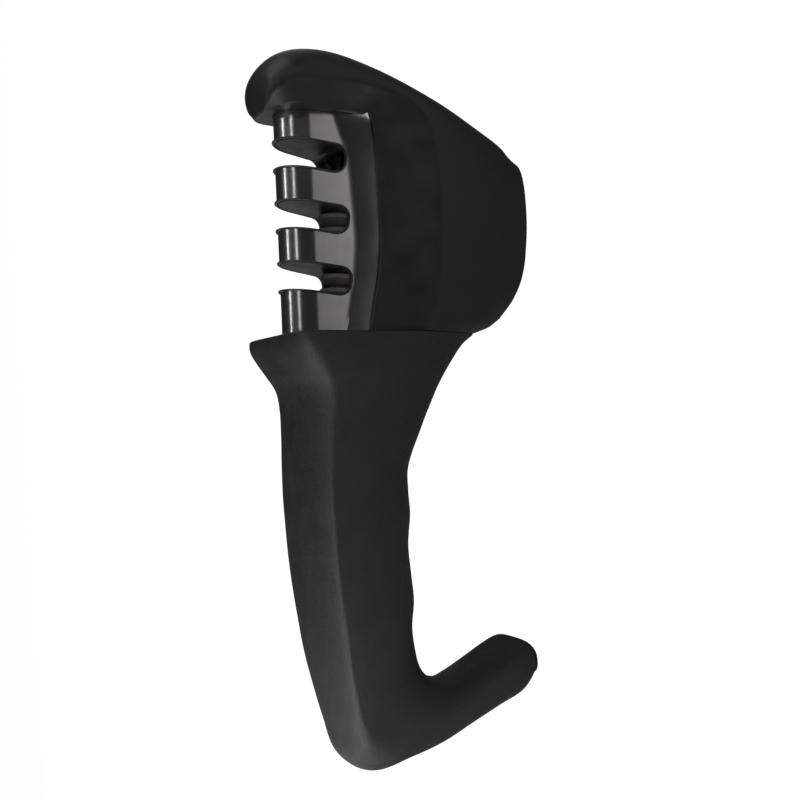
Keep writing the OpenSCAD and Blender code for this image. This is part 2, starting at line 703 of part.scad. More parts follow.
// A wheel with its bevelled face towards the other one, on side s of the stage
module wheel(k, s) {
    at_stage(k)
        translate([0, 0, axle_z])
            rotate([0, s*90, 0])
                rotate_extrude()
                    polygon([[hub_r + seat_gap/4, wheel_split], [wheel_r - groove_deep, wheel_split],
                        [wheel_r, wheel_split + groove_half],
                        [wheel_r, wheel_split + wheel_t - wheel_edge],
                        [wheel_r - wheel_edge, wheel_split + wheel_t],
                        [hub_r + seat_gap/4, wheel_split + wheel_t]]);
}

module diamond_axle() { color("#b5b6ba") axle(0); }
module diamond_hub() { color("#3a3938") hub(0); }
module diamond_wheel_front() { color("#6f7276") wheel(0, 1); }
module diamond_wheel_rear() { color("#6f7276") wheel(0, -1); }
module ceramic_axle() { color("#b5b6ba") axle(-1); }
module ceramic_hub() { color("#3a3938") hub(-1); }
module ceramic_wheel_front() { color("#4a4744") wheel(-1, 1); }
module ceramic_wheel_rear() { color("#4a4744") wheel(-1, -1); }

module handle_grip() {
    color("#2a2a2b")
        difference() {
            handle_loft();
            core_loft(skin_t, core_first_share, core_last_share);
            for (p = joint_shares, s = [-1, 1])
                translate([joint_x(p) - joint_boss_l, s*p[0]*body_w, p[1]*body_h])
                    rotate([0, 90, 0]) cylinder(r = joint_boss_r + soft_gap, h = joint_boss_l + 2*over);
        }
}

// One hard shell of the handle's core; s is -1 for the right one and 1 for the left one
module handle_core(s) {
    color("#1b1b1d")
        difference() {
            union() {
                difference() {
                    core_loft(skin_t + soft_gap, core_first_share, core_last_share);
                    core_loft(skin_t + soft_gap + core_t, core_hollow_first_share, core_hollow_last_share);
                }
                for (p = joint_shares)
                    translate([joint_x(p) - joint_boss_l, s*p[0]*body_w, p[1]*body_h])
                        rotate([0, 90, 0]) cylinder(r = joint_boss_r, h = joint_boss_l);
                intersection() {
                    core_loft(skin_t + soft_gap, core_first_share, core_last_share);
                    for (p = core_screw_shares)
                        translate([p[0]*body_l, 0, p[1]*body_h])
                            rotate([90, 0, 0]) cylinder(r = core_boss_r, h = body_w, center = true);
                }
            }
            translate([-body_l, s > 0 ? half_gap - body_w : -half_gap, -body_h])
                cube([2*body_l, body_w, 3*body_h]);
            for (p = joint_shares) {
                translate([joint_x(p) - joint_boss_l + over, s*p[0]*body_w, p[1]*body_h])
                    rotate([0, 90, 0]) cylinder(r = screw_r + 2*seat_gap, h = joint_boss_l);
                translate([joint_x(p) - insert_l - seat_gap, s*p[0]*body_w, p[1]*body_h])
                    rotate([0, 90, 0]) cylinder(r = insert_r + seat_gap, h = insert_l + over);
            }
            for (p = core_screw_shares)
                translate([p[0]*body_l, 0, p[1]*body_h]) rotate([-90, 0, 0]) {
                    translate([0, 0, -core_head_y])
                        cylinder(r = screw_r + seat_gap, h = core_screw_l + over);
                    translate([0, 0, -body_w])
                        cylinder(r = screw_head_r + seat_gap, h = body_w - core_head_y);
                }
        }
}

module handle_core_left() { handle_core(1); }
module handle_core_right() { handle_core(-1); }

module core_screws() {
    color("#8a8c90")
        for (p = core_screw_shares)
            translate([p[0]*body_l, -core_head_y, p[1]*body_h])
                rotate([-90, 0, 0]) screw(screw_r, screw_head_r, screw_head_t, core_screw_l);
}

module handle_inserts() {
    color("#b08d3e")
        for (p = joint_shares, s = [-1, 1])
            translate([joint_x(p) - insert_l, s*p[0]*body_w, p[1]*body_h]) rotate([0, 90, 0])
                difference() {
                    cylinder(r = insert_r, h = insert_l - seat_gap);
                    translate([0, 0, -over]) cylinder(r = screw_r + seat_gap, h = insert_l + 2*over);
                }
}

module handle_screws() {
    color("#8a8c90")
        for (p = joint_shares, s = [-1, 1])
            translate([joint_seat_x, s*p[0]*body_w, p[1]*body_h])
                rotate([0, -90, 0]) screw(screw_r, screw_head_r, screw_head_t, joint_reach);
}

module foot_pad() {
    tip = handle_ring(handle_rib_shares[len(handle_rib_shares) - 1], pad_t/2, side_steps);
    color("#151516")
        linear_extrude(height = tip[0][2]) polygon([for (p = tip) [p[0], p[1]]]);
}

head_housing();
base_plate();
base_pad();
base_screws();
steel_cover();
slot_block();
stage_chassis();
chassis_screws();
carbide_holder();
carbide_clamp();
carbide_plate_near();
carbide_plate_far();
carbide_screws();
diamond_axle();
diamond_hub();
diamond_wheel_front();
diamond_wheel_rear();
ceramic_axle();
ceramic_hub();
ceramic_wheel_front();
ceramic_wheel_rear();
handle_grip();
handle_core_left();
handle_core_right();
core_screws();
handle_inserts();
handle_screws();
foot_pad();
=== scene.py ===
"""Looks of a three-stage knife sharpener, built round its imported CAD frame.

Lengths in the classes are millimetres in the part's own frame: X runs from the tail to the nose,
Y across and Z up. Meshes are turned into metres when they are made.
"""

import logging
import math
from dataclasses import dataclass, field
from enum import Enum
from typing import Iterable, Sequence

import bmesh
import bpy
import numpy as np
from mathutils import Matrix, Vector

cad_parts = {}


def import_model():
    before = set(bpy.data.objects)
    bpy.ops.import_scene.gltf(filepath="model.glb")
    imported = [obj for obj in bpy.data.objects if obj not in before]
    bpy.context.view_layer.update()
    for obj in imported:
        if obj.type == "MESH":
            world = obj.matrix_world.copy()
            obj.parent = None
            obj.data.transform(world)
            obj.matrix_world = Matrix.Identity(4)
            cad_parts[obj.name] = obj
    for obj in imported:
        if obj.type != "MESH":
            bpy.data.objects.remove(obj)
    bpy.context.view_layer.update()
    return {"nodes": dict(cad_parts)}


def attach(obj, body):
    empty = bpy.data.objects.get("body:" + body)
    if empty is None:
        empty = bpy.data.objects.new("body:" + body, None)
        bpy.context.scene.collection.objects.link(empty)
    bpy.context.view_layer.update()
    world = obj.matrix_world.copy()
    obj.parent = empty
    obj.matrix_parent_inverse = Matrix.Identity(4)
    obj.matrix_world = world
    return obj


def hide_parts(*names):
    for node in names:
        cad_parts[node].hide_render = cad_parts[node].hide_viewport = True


log = logging.getLogger("sharpener")

MM = 0.001

# Overall length, width and height that the tables' shares multiply
BODY_L = 217.0
BODY_W = 53.0
BODY_H = 78.0
# Where the handle meets the head on a plane that leans forward, and the middle slot
SEAM_X = 0.099 * BODY_L
SEAM_LEAN = 0.0451
SEAM_Z = 0.571 * BODY_H
MID_X = 0.2575 * BODY_L
# The cover's arch: radius, height of its axis at the middle slot and its fall to the nose
COVER_R = 0.2358 * BODY_W
ARCH_Z = 0.762 * BODY_H
ARCH_FALL = math.tan(math.radians(2.2))
# The arch's top is rounder than its sides, which lean outwards towards the flare
SHOULDER_R = 0.736 * COVER_R
SIDE_LEAN = math.radians(9.0)
SHEET_T = 0.6
SLOT_W = 6.6
SLOT_PITCH = 0.0848 * BODY_L
SLOT_DEPTH = 17.1
SLOT_LEAN = math.radians(11.0)
SLOT_CORNER = 2.5
RIM_W = 0.5
LIP_BACK = 0.7
RIM_PROUD = 0.4
PLAY = 0.05
SOFT_GAP = 0.2
# Points closer than these are merged, the finer one after cutting
MERGE = 0.002
FINE_MERGE = 0.001
# Steps on the straight side below the arch
FOOT_STEPS = 8
DECK_Z = 0.587 * BODY_H
STAGES = (1, 0, -1)

Point = tuple[float, float, float]
Pair = tuple[float, float]
Profile = list[Pair]
Object = bpy.types.Object
Socket = bpy.types.NodeSocket
Material = bpy.types.Material


class Body(Enum):
    """The CAD bodies that the new pieces ride on."""

    SHARPENER = "sharpener"
    DIAMOND = "diamond_set"


class Finish(Enum):
    """The record's material slots."""

    HEAD = "black_plastic"
    SLOT = "slot_plastic"
    INNER = "inner_plastic"
    CORE = "core_plastic"
    HUB = "hub_plastic"
    GRIP = "grip_rubber"
    PAD = "pad_rubber"
    COVER = "cover_steel"
    SCREW = "screw_steel"
    CARBIDE = "carbide"
    DIAMOND = "diamond_grey"
    # Near black as painted shade of the deep slots
    CERAMIC_PAINTED_SHADE = "ceramic_dark"
    INSERT = "insert_brass"


def arch_axis(x: float) -> float:
    """Gives the height of the cover's arch axis.

    Args:
        x: Place along the part.

    Returns:
        The axis's height.
    """
    return ARCH_Z - ARCH_FALL * (x - MID_X)


def seam_at(z: float) -> float:
    """Gives where the leaning seam between head and handle lies.

    Args:
        z: Height above the table.

    Returns:
        X of the seam.
    """
    return SEAM_X + SEAM_LEAN * (z - SEAM_Z)


def stage_floor(k: int) -> Pair:
    """Gives the middle of a slot's floor.

    Args:
        k: Stage number, 1 nearest the nose.

    Returns:
        X and Z of the floor's middle.
    """
    x = MID_X + k * SLOT_PITCH
    return x, arch_axis(x) + COVER_R - SLOT_DEPTH


def arch_half(x: float, z: float, grow: float = 0.0) -> float:
    """Gives the half width of the arch's outline at a place and height.

    Args:
        x: Place along the part.
        z: Height above the table.
        grow: How far the outline is grown.

    Returns:
        The half width, zero above the arch.
    """
    radius = SHOULDER_R + grow
    rise = z - arch_axis(x) - COVER_R + SHOULDER_R
    if rise > radius * math.sin(SIDE_LEAN):
        return math.sqrt(max(radius ** 2 - rise ** 2, 0.0))
    return (radius - rise * math.sin(SIDE_LEAN)) / math.cos(SIDE_LEAN)


def arch_outline(x: float, low: float, grow: float = 0.0, steps: int = 64) -> Profile:
    """Gives the arch's outline across the part, from one foot over the top to the other.

    Args:
        x: Place along the part.
        low: Height of its feet.
        grow: How far the outline is grown.
        steps: Steps round the top.

    Returns:
        Points in Y and Z.
    """
    radius, centre = SHOULDER_R + grow, arch_axis(x) + COVER_R - SHOULDER_R
    first = centre + radius * math.sin(SIDE_LEAN)
    side = [low + (first - low) * k / FOOT_STEPS for k in range(FOOT_STEPS)]
    right = [(arch_half(x, z, grow), z) for z in side]
    turn = [SIDE_LEAN + (math.pi - 2 * SIDE_LEAN) * k / steps for k in range(steps + 1)]
    top = [(radius * math.cos(f), centre + radius * math.sin(f)) for f in turn]
    return right + top + [(-y, z) for y, z in reversed(right)]


def blend_rows(rows: np.ndarray, u: float) -> np.ndarray:
    """Reads a table between its rows with a smooth curve.

    Args:
        rows: The table, one row for each rib.
        u: Place in the table, from 0 to its last index.

    Returns:
        The blended row.
    """
    last = len(rows) - 1
    i = min(int(math.floor(u)), last - 1)
    t = u - i
    a, b, c, d = rows[max(i - 1, 0)], rows[i], rows[i + 1], rows[min(i + 2, last)]
    curve = (2 * a - 5 * b + 4 * c - d) * t * t + (3 * b - a - 3 * c + d) * t ** 3
    return 0.5 * (2 * b + (c - a) * t + curve)


def round_off(distance: float, radius: float) -> float:
    """Gives how far a rounded edge draws back from a sharp one.

    Args:
        distance: How far the point lies from the edge.
        radius: The edge's radius.

    Returns:
        The draw-back, zero past the radius.
    """
    if distance >= radius:
        return 0.0
    return radius - math.sqrt(max(radius ** 2 - (radius - distance) ** 2, 0.0))


def new_object(name: str, points: Iterable[Sequence[float]], faces: Iterable[Sequence[int]]) -> Object:
    """Makes a linked mesh object from points in millimetres.

    Args:
        name: The piece's name.
        points: Corner points.
        faces: Corner numbers of each face.

    Returns:
        The object, at the origin and in metres.
    """
    mesh = bpy.data.meshes.new(name)
    mesh.from_pydata([tuple(MM * float(v) for v in p) for p in points], [], [tuple(f) for f in faces])
    mesh.validate()
    obj = bpy.data.objects.new(name, mesh)
    bpy.context.scene.collection.objects.link(obj)
    return obj


def clean_up(obj: Object, distance: float = MERGE, turn: bool = True) -> None:
    """Merges doubled points, drops empty faces and turns faces outwards.

    Args:
        obj: The mesh object.
        distance: Merge distance in millimetres.
        turn: Whether the faces are turned outwards.
    """
    bm = bmesh.new()
    bm.from_mesh(obj.data)
    bmesh.ops.remove_doubles(bm, verts=bm.verts, dist=distance * MM)
    bmesh.ops.dissolve_degenerate(bm, edges=bm.edges, dist=distance * MM / 2)
    if turn:
        bmesh.ops.recalc_face_normals(bm, faces=bm.faces)
    bm.to_mesh(obj.data)
    bm.free()


def smooth(obj: Object, angle: float = 32.0) -> None:
    """Shades a piece smoothly and keeps its edges sharp past an angle.

    Args:
        obj: The mesh object.
        angle: The angle in degrees.
    """
    obj.data.shade_smooth()
    obj.data.set_sharp_from_angle(angle=math.radians(angle))


def bake(obj: Object) -> None:
    """Turns an object's modifiers into its plain mesh.

    Args:
        obj: The object.
    """
    graph = bpy.context.evaluated_depsgraph_get()
    graph.update()
    mesh = bpy.data.meshes.new_from_object(obj.evaluated_get(graph), preserve_all_data_layers=True,
                                           depsgraph=graph)
    obj.modifiers.clear()
    old = obj.data
    obj.data = mesh
    bpy.data.meshes.remove(old)


def combine(obj: Object, tools: Sequence[Object], operation: str) -> Object:
    """Joins tools to an object or cuts them from it, then removes the tools.

    Args:
        obj: The object that stays.
        tools: Closed mesh objects.
        operation: UNION, DIFFERENCE or INTERSECT.

    Returns:
        The object.
    """
    for tool in tools:
        step = obj.modifiers.new("cut", "BOOLEAN")
        step.operation = operation
        step.solver = "MANIFOLD"
        step.object = tool
    bake(obj)
    for tool in tools:
        mesh = tool.data
        bpy.data.objects.remove(tool)
        bpy.data.meshes.remove(mesh)
    return obj


def prism(name: str, outline: Profile, axis: int, low: float, high: float) -> Object:
    """Pulls a closed outline straight along one axis.

    Args:
        name: The object's name.
        outline: Points in the other two axes, in their order.
        axis: 0, 1 or 2 for X, Y or Z.
        low: Where the prism starts.
        high: Where it ends.

    Returns:
        The closed prism.
    """
    def place(p: Pair, along: float) -> Point:
        """Puts an outline point in space.

        Args:
            p: The point.
            along: Its place along the axis.

        Returns:
            X, Y and Z.
        """
        q = list(p)
        q.insert(axis, along)
        return tuple(q)

    n = len(outline)
    points = [place(p, low) for p in outline] + [place(p, high) for p in outline]
    faces = [tuple(range(n)), tuple(range(2 * n - 1, n - 1, -1))]
    faces += [(i, n + i, n + (i + 1) % n, (i + 1) % n) for i in range(n)]
    obj = new_object(name, points, faces)
    clean_up(obj)
    return obj


def box_tool(low: Point, high: Point) -> Object:
    """Makes a closed box between two corners, for cutting.

    Args:
        low: Lowest corner.
        high: Highest corner.

    Returns:
        The box.
    """
    rectangle = [(low[0], low[1]), (high[0], low[1]), (high[0], high[1]), (low[0], high[1])]
    return prism("tool", rectangle, 2, low[2], high[2])


def disc(radius: float, count: int, centre: Pair = (0.0, 0.0)) -> Profile:
    """Gives the points of a circle.

    Args:
        radius: The circle's radius.
        count: Number of points.
        centre: Its middle.

    Returns:
        The points in order.
    """
    turn = [2 * math.pi * i / count for i in range(count)]
    return [(centre[0] + radius * math.cos(a), centre[1] + radius * math.sin(a)) for a in turn]


def ring_skin(name: str, rings: np.ndarray) -> Object:
    """Skins rings of equal counts into one closed form with flat ends.

    Args:
        name: The object's name.
        rings: Array of rings, points and coordinates.

    Returns:
        The closed object.
    """
    count, n = rings.shape[0], rings.shape[1]
    faces = [tuple(range(n)), tuple(range(count * n - 1, (count - 1) * n - 1, -1))]
    for i in range(count - 1):
        for j in range(n):
            k = (j + 1) % n
            faces.append((i * n + j, i * n + k, (i + 1) * n + k, (i + 1) * n + j))
    obj = new_object(name, rings.reshape(-1, 3), faces)
    clean_up(obj)
    return obj


def lean(u: float, t: float, stage: int) -> Pair:
    """Turns a slot's own coordinates into X and Z.

    Args:
        u: Across the slot, towards the nose.
        t: Up from the slot's floor.
        stage: Stage number.

    Returns:
        X and Z.
    """
    x, z = stage_floor(stage)
    c, d = math.cos(SLOT_LEAN), math.sin(SLOT_LEAN)
    return x + u * c + t * d, z - u * d + t * c


def slot_outline(grow: float, stage: int, steps: int = 10) -> Profile:
    """Gives a slot's outline in X and Z, open far above the arch.

    Args:
        grow: How far the outline is grown on its sides and floor.
        stage: Stage number.
        steps: Steps round each corner.

    Returns:
        The outline's points.
    """
    half, corner, top = SLOT_W / 2 + grow, SLOT_CORNER + grow, SLOT_DEPTH + COVER_R
    local = [(-half, top)]
    for i in range(steps + 1):
        a = math.pi + 0.5 * math.pi * i / steps
        local.append((-half + corner + corner * math.cos(a), corner - grow + corner * math.sin(a)))
    for i in range(steps + 1):
        a = 1.5 * math.pi + 0.5 * math.pi * i / steps
        local.append((half - corner + corner * math.cos(a), corner - grow + corner * math.sin(a)))
    local.append((half, top))
    return [lean(u, t, stage) for u, t in local]


def islands(cad: Object) -> list[tuple[np.ndarray, np.ndarray]]:
    """Finds the separate solids of a CAD node.

    Args:
        cad: The CAD node.

    Returns:
        Lowest and highest corner of each in millimetres.
    """
    bm = bmesh.new()
    bm.from_mesh(cad.data)
    bm.transform(cad.matrix_world)
    bmesh.ops.remove_doubles(bm, verts=bm.verts, dist=MERGE * MM)
    left, boxes = set(bm.verts), []
    while left:
        group, front = set(), [left.pop()]
        while front:
            vert = front.pop()
            group.add(vert)
            for edge in vert.link_edges:
                other = edge.other_vert(vert)
                if other in left:
                    left.remove(other)
                    front.append(other)
        points = np.array([v.co for v in group]) / MM
        boxes.append((points.min(axis=0), points.max(axis=0)))
    bm.free()
    return sorted(boxes, key=lambda b: tuple(b[0]))


# The sockets of a Mix node that mixes colours: its share, both colours and its result
MIX_SHARE, MIX_LOW, MIX_HIGH, MIX_OUT = 0, 6, 7, 2


class Shades:
    """Lays out a material's or a group's nodes with few words."""

    def __init__(self, tree: bpy.types.NodeTree) -> None:
        """Takes the tree that the nodes go into."""
        self.tree = tree

    def add(self, kind: str, **values: object) -> bpy.types.Node:
        """Adds a node and sets its sockets or links other nodes' outputs into them.

        Args:
            kind: The node's type name.
            **values: Values by socket name, with _ for a space. A socket is linked, and a name
                that is no socket is set on the node itself.

        Returns:
            The node.
        """
        node = self.tree.nodes.new(kind)
        for key, value in values.items():
            name = key.replace("_", " ")
            if hasattr(node, key) and name not in node.inputs:
                setattr(node, key, value)
                continue
            socket = next(s for s in node.inputs if s.name == name and s.enabled)
            if isinstance(value, Socket):
                self.tree.links.new(value, socket)
            else:
                socket.default_value = value
        return node

    def math(self, operation: str, a: object, b: object = 0.0) -> Socket:
        """Adds a Math node.

        Args:
            operation: Its operation.
            a: First value or socket.
            b: Second value or socket.

        Returns:
            Its output.
        """
        node = self.tree.nodes.new("ShaderNodeMath")
        node.operation = operation
        for socket, value in zip(node.inputs, (a, b)):
            if isinstance(value, Socket):
                self.tree.links.new(value, socket)
            else:
                socket.default_value = value
        return node.outputs[0]

    def mix(self, share: Socket, low: Point | Socket, high: Point) -> Socket:
        """Mixes two linear colours.

        Args:
            share: How much of the second colour there is.
            low: First colour.
            high: Second colour.

        Returns:
            The mixed colour.
        """
        node = self.add("ShaderNodeMix", data_type="RGBA")
        self.tree.links.new(share, node.inputs[MIX_SHARE])
        for number, colour in ((MIX_LOW, low), (MIX_HIGH, high)):
            if isinstance(colour, Socket):
                self.tree.links.new(colour, node.inputs[number])
            else:
                node.inputs[number].default_value = (*colour, 1.0)
        return node.outputs[MIX_OUT]

    def ramp(self, source: Socket, low: float, high: float, to: Pair = (0.0, 1.0)) -> Socket:
        """Maps a value's range onto another one, clamped.

        Args:
            source: The value.
            low: Where the range starts.
            high: Where it ends.
            to: What the ends become.

        Returns:
            The mapped value.
        """
        node = self.tree.nodes.new("ShaderNodeMapRange")
        self.tree.links.new(source, node.inputs["Value"])
        for name, value in (("From Min", low), ("From Max", high), ("To Min", to[0]), ("To Max", to[1])):
            node.inputs[name].default_value = value
        return node.outputs["Result"]

    def end(self, shader: bpy.types.Node, kind: str = "ShaderNodeOutputMaterial") -> None:
        """Links a shader to the output of its material or world."""
        self.tree.links.new(shader.outputs[0], self.add(kind).inputs["Surface"])


def blank_material(name: str) -> tuple[Material, Shades]:
    """Makes a material without nodes.

    Args:
        name: The material's name.

    Returns:
        The material and its node layer.
    """
    mat = bpy.data.materials.new(name)
    mat.use_nodes = True
    mat.node_tree.nodes.clear()
    return mat, Shades(mat.node_tree)


GroupParts = tuple[Shades, bpy.types.Node, bpy.types.Node]


class ShaderGroups:
    """The node groups that several materials share."""

    speck_scale: float = 1.7
    speck_range: Pair = (0.58, 0.72)
    cloud_range: Pair = (0.3, 0.7)
    wear_range: Pair = (0.35, 0.6)

    def __init__(self) -> None:
        """Builds the groups once."""
        self.grain = self.make_grain()
        self.wear = self.make_wear()

    @staticmethod
    def start(name: str, inputs: dict[str, float | None], outputs: Sequence[str]) -> GroupParts:
        """Makes an empty group with named sockets.

        Args:
            name: The group's name.
            inputs: Default by name, or None for a vector.
            outputs: Names of the values that it puts out.

        Returns:
            Its node layer, and its input and output nodes.
        """
        tree = bpy.data.node_groups.new(name, "ShaderNodeTree")
        for label, value in inputs.items():
            kind = "NodeSocketVector" if value is None else "NodeSocketFloat"
            socket = tree.interface.new_socket(label, in_out="INPUT", socket_type=kind)
            if value is not None:
                socket.default_value = value
        for label in outputs:
            tree.interface.new_socket(label, in_out="OUTPUT", socket_type="NodeSocketFloat")
        s = Shades(tree)
        return s, s.add("NodeGroupInput"), s.add("NodeGroupOutput")

    def make_grain(self) -> bpy.types.NodeTree:
        """Builds the fine moulded grain: pits, a soft mottle and their height.

        Returns:
            The group.
        """
        s, given, out = self.start(
            "fine_grain", {"Vector": None, "Grain Size": 0.2, "Mottle Size": 8.0, "Pit": 0.5},
            ("Height", "Speck", "Mottle"))
        at = given.outputs["Vector"]
        fine = s.math("DIVIDE", 1.0 / MM, given.outputs["Grain Size"])
        wide = s.math("DIVIDE", 1.0 / MM, given.outputs["Mottle Size"])
        noise = s.add("ShaderNodeTexNoise", Vector=at, Scale=fine, Detail=2.0, Roughness=0.6)
        cells = s.add("ShaderNodeTexVoronoi", Vector=at, Scale=fine)
        pits = s.math("MULTIPLY", cells.outputs["Distance"], given.outputs["Pit"])
        height = s.math("ADD", noise.outputs[0], pits)
        finer = s.math("MULTIPLY", fine, self.speck_scale)
        specks = s.add("ShaderNodeTexNoise", Vector=at, Scale=finer, Detail=1.0)
        speck = s.ramp(specks.outputs[0], *self.speck_range)
        cloud = s.add("ShaderNodeTexNoise", Vector=at, Scale=wide, Detail=4.0, Roughness=0.55)
        mottle = s.ramp(cloud.outputs[0], *self.cloud_range)
        for name, value in (("Height", height), ("Speck", speck), ("Mottle", mottle)):
            s.tree.links.new(value, out.inputs[name])
        return s.tree

    def make_wear(self) -> bpy.types.NodeTree:
        """Builds the edge wear mask, broken up by a noise.

        Returns:
            The group.
        """
        s, given, out = self.start(
            "edge_wear", {"Vector": None, "Start": 0.55, "Full": 0.7, "Break Size": 2.0}, ("Mask",))
        geometry = s.add("ShaderNodeNewGeometry")
        edge = s.add("ShaderNodeMapRange", Value=geometry.outputs["Pointiness"],
                     From_Min=given.outputs["Start"], From_Max=given.outputs["Full"])
        scale = s.math("DIVIDE", 1.0 / MM, given.outputs["Break Size"])
        noise = s.add("ShaderNodeTexNoise", Vector=given.outputs["Vector"], Scale=scale, Detail=5.0,
                      Roughness=0.7)
        mask = s.math("MULTIPLY", edge.outputs["Result"], s.ramp(noise.outputs[0], *self.wear_range))
        s.tree.links.new(mask, out.inputs["Mask"])
        return s.tree


@dataclass(frozen=True)
class Moulded:
    """A moulded plastic or rubber finish.

    The colours are linear. Grain sizes are millimetres. Specks in the wear colour are painted glints.
    """

    name: str
    colour: Point
    wear_and_glint_colour: Point
    rough: float = 0.42
    rough_spread: float = 0.08
    grain: float = 0.25
    depth: float = 0.12
    pit: float = 0.4
    painted_glint: float = 0.0
    mottle: float = 0.15

    def make(self, groups: ShaderGroups) -> Material:
        """Builds the material.

        Args:
            groups: The shared node groups.

        Returns:
            The material.
        """
        mat, s = blank_material(self.name)
        at = s.add("ShaderNodeTexCoord").outputs["Object"]
        grain = s.add("ShaderNodeGroup", node_tree=groups.grain)
        wear = s.add("ShaderNodeGroup", node_tree=groups.wear)
        for node in (grain, wear):
            s.tree.links.new(at, node.inputs["Vector"])
        grain.inputs["Grain Size"].default_value = self.grain
        grain.inputs["Pit"].default_value = self.pit
        dull, light = (tuple(f * c for c in self.colour) for f in (1 - self.mottle, 1 + self.mottle))
        # Lighter specks are painted glints, mixed with the real edge wear into one mask
        painted_glint_specks = s.math("MULTIPLY", grain.outputs["Speck"], self.painted_glint)
        wear_and_painted_glint = s.math("MAXIMUM", wear.outputs["Mask"], painted_glint_specks)
        base = s.mix(wear_and_painted_glint, s.mix(grain.outputs["Mottle"], dull, light), self.wear_and_glint_colour)
        spread = (self.rough - self.rough_spread, self.rough + self.rough_spread)
        rough = s.ramp(grain.outputs["Mottle"], 0.0, 1.0, spread)
        bump = s.add("ShaderNodeBump", Strength=self.depth, Distance=self.grain * MM,
                     Height=grain.outputs["Height"])
        skin = s.add("ShaderNodeBsdfPrincipled", Base_Color=base, Roughness=rough, Normal=bump.outputs[0])
        s.end(skin)
        return mat


@dataclass(frozen=True)
class Metal:
    """A rolled or turned metal finish. The colour is linear, sizes are millimetres."""

    name: str
    colour: Point
    rough: float = 0.2
    rough_spread: float = 0.05
    line: float = 0.12
    run: float = 14.0
    depth: float = 0.05
    along: int = 0
    cloud: Pair = (0.3, 5.0)
    tones: Pair = (0.93, 1.05)
    line_range: Pair = (0.3, 0.7)

    def make(self, groups: ShaderGroups) -> Material:
        """Builds the material.

        Args:
            groups: The shared node groups.

        Returns:
            The material.
        """
        mat, s = blank_material(self.name)
        at = s.add("ShaderNodeTexCoord").outputs["Object"]
        stretch = s.add("ShaderNodeMapping", Vector=at)
        scale = [1.0 / (self.line * MM)] * 3
        scale[self.along] = 1.0 / (self.run * MM)
        stretch.inputs["Scale"].default_value = scale
        lines = s.add("ShaderNodeTexNoise", Vector=stretch.outputs[0], Scale=1.0, Detail=3.0, Roughness=0.6)
        grain = s.add("ShaderNodeGroup", node_tree=groups.grain)
        s.tree.links.new(at, grain.inputs["Vector"])
        grain.inputs["Grain Size"].default_value = self.cloud[0]
        grain.inputs["Mottle Size"].default_value = self.cloud[1]
        dull, light = (tuple(f * c for c in self.colour) for f in self.tones)
        tone = s.mix(grain.outputs["Mottle"], dull, light)
        streaks = s.ramp(lines.outputs[0], *self.line_range, (-self.rough_spread, self.rough_spread))
        rough = s.math("ADD", streaks, self.rough)
        bump = s.add("ShaderNodeBump", Strength=self.depth, Distance=self.line * MM, Height=lines.outputs[0])
        skin = s.add("ShaderNodeBsdfPrincipled", Base_Color=tone, Roughness=rough, Normal=bump.outputs[0])
        skin.inputs["Metallic"].default_value = 1.0
        s.end(skin)
        return mat


@dataclass(frozen=True)
class Gritty:
    """A bonded abrasive or sintered finish. Colours are linear, sizes are millimetres."""

    name: str
    colour: Point
    grit: Point
    size: float = 0.18
    share: float = 0.5
    rough: float = 0.6
    depth: float = 0.5
    metal: float = 0.0
    pit: float = 0.8
    grit_rough: float = 0.6

    def make(self, groups: ShaderGroups) -> Material:
        """Builds the material.

        Args:
            groups: The shared node groups.

        Returns:
            The material.
        """
        mat, s = blank_material(self.name)
        at = s.add("ShaderNodeTexCoord").outputs["Object"]
        grain = s.add("ShaderNodeGroup", node_tree=groups.grain)
        s.tree.links.new(at, grain.inputs["Vector"])
        grain.inputs["Grain Size"].default_value = self.size
        grain.inputs["Pit"].default_value = self.pit
        base = s.mix(s.math("MULTIPLY", grain.outputs["Speck"], self.share), self.colour, self.grit)
        rough = s.ramp(grain.outputs["Speck"], 0.0, 1.0, (self.rough, self.grit_rough * self.rough))
        bump = s.add("ShaderNodeBump", Strength=self.depth, Distance=self.size * MM,
                     Height=grain.outputs["Height"])
        skin = s.add("ShaderNodeBsdfPrincipled", Base_Color=base, Roughness=rough, Normal=bump.outputs[0])
        skin.inputs["Metallic"].default_value = self.metal
        s.end(skin)
        return mat


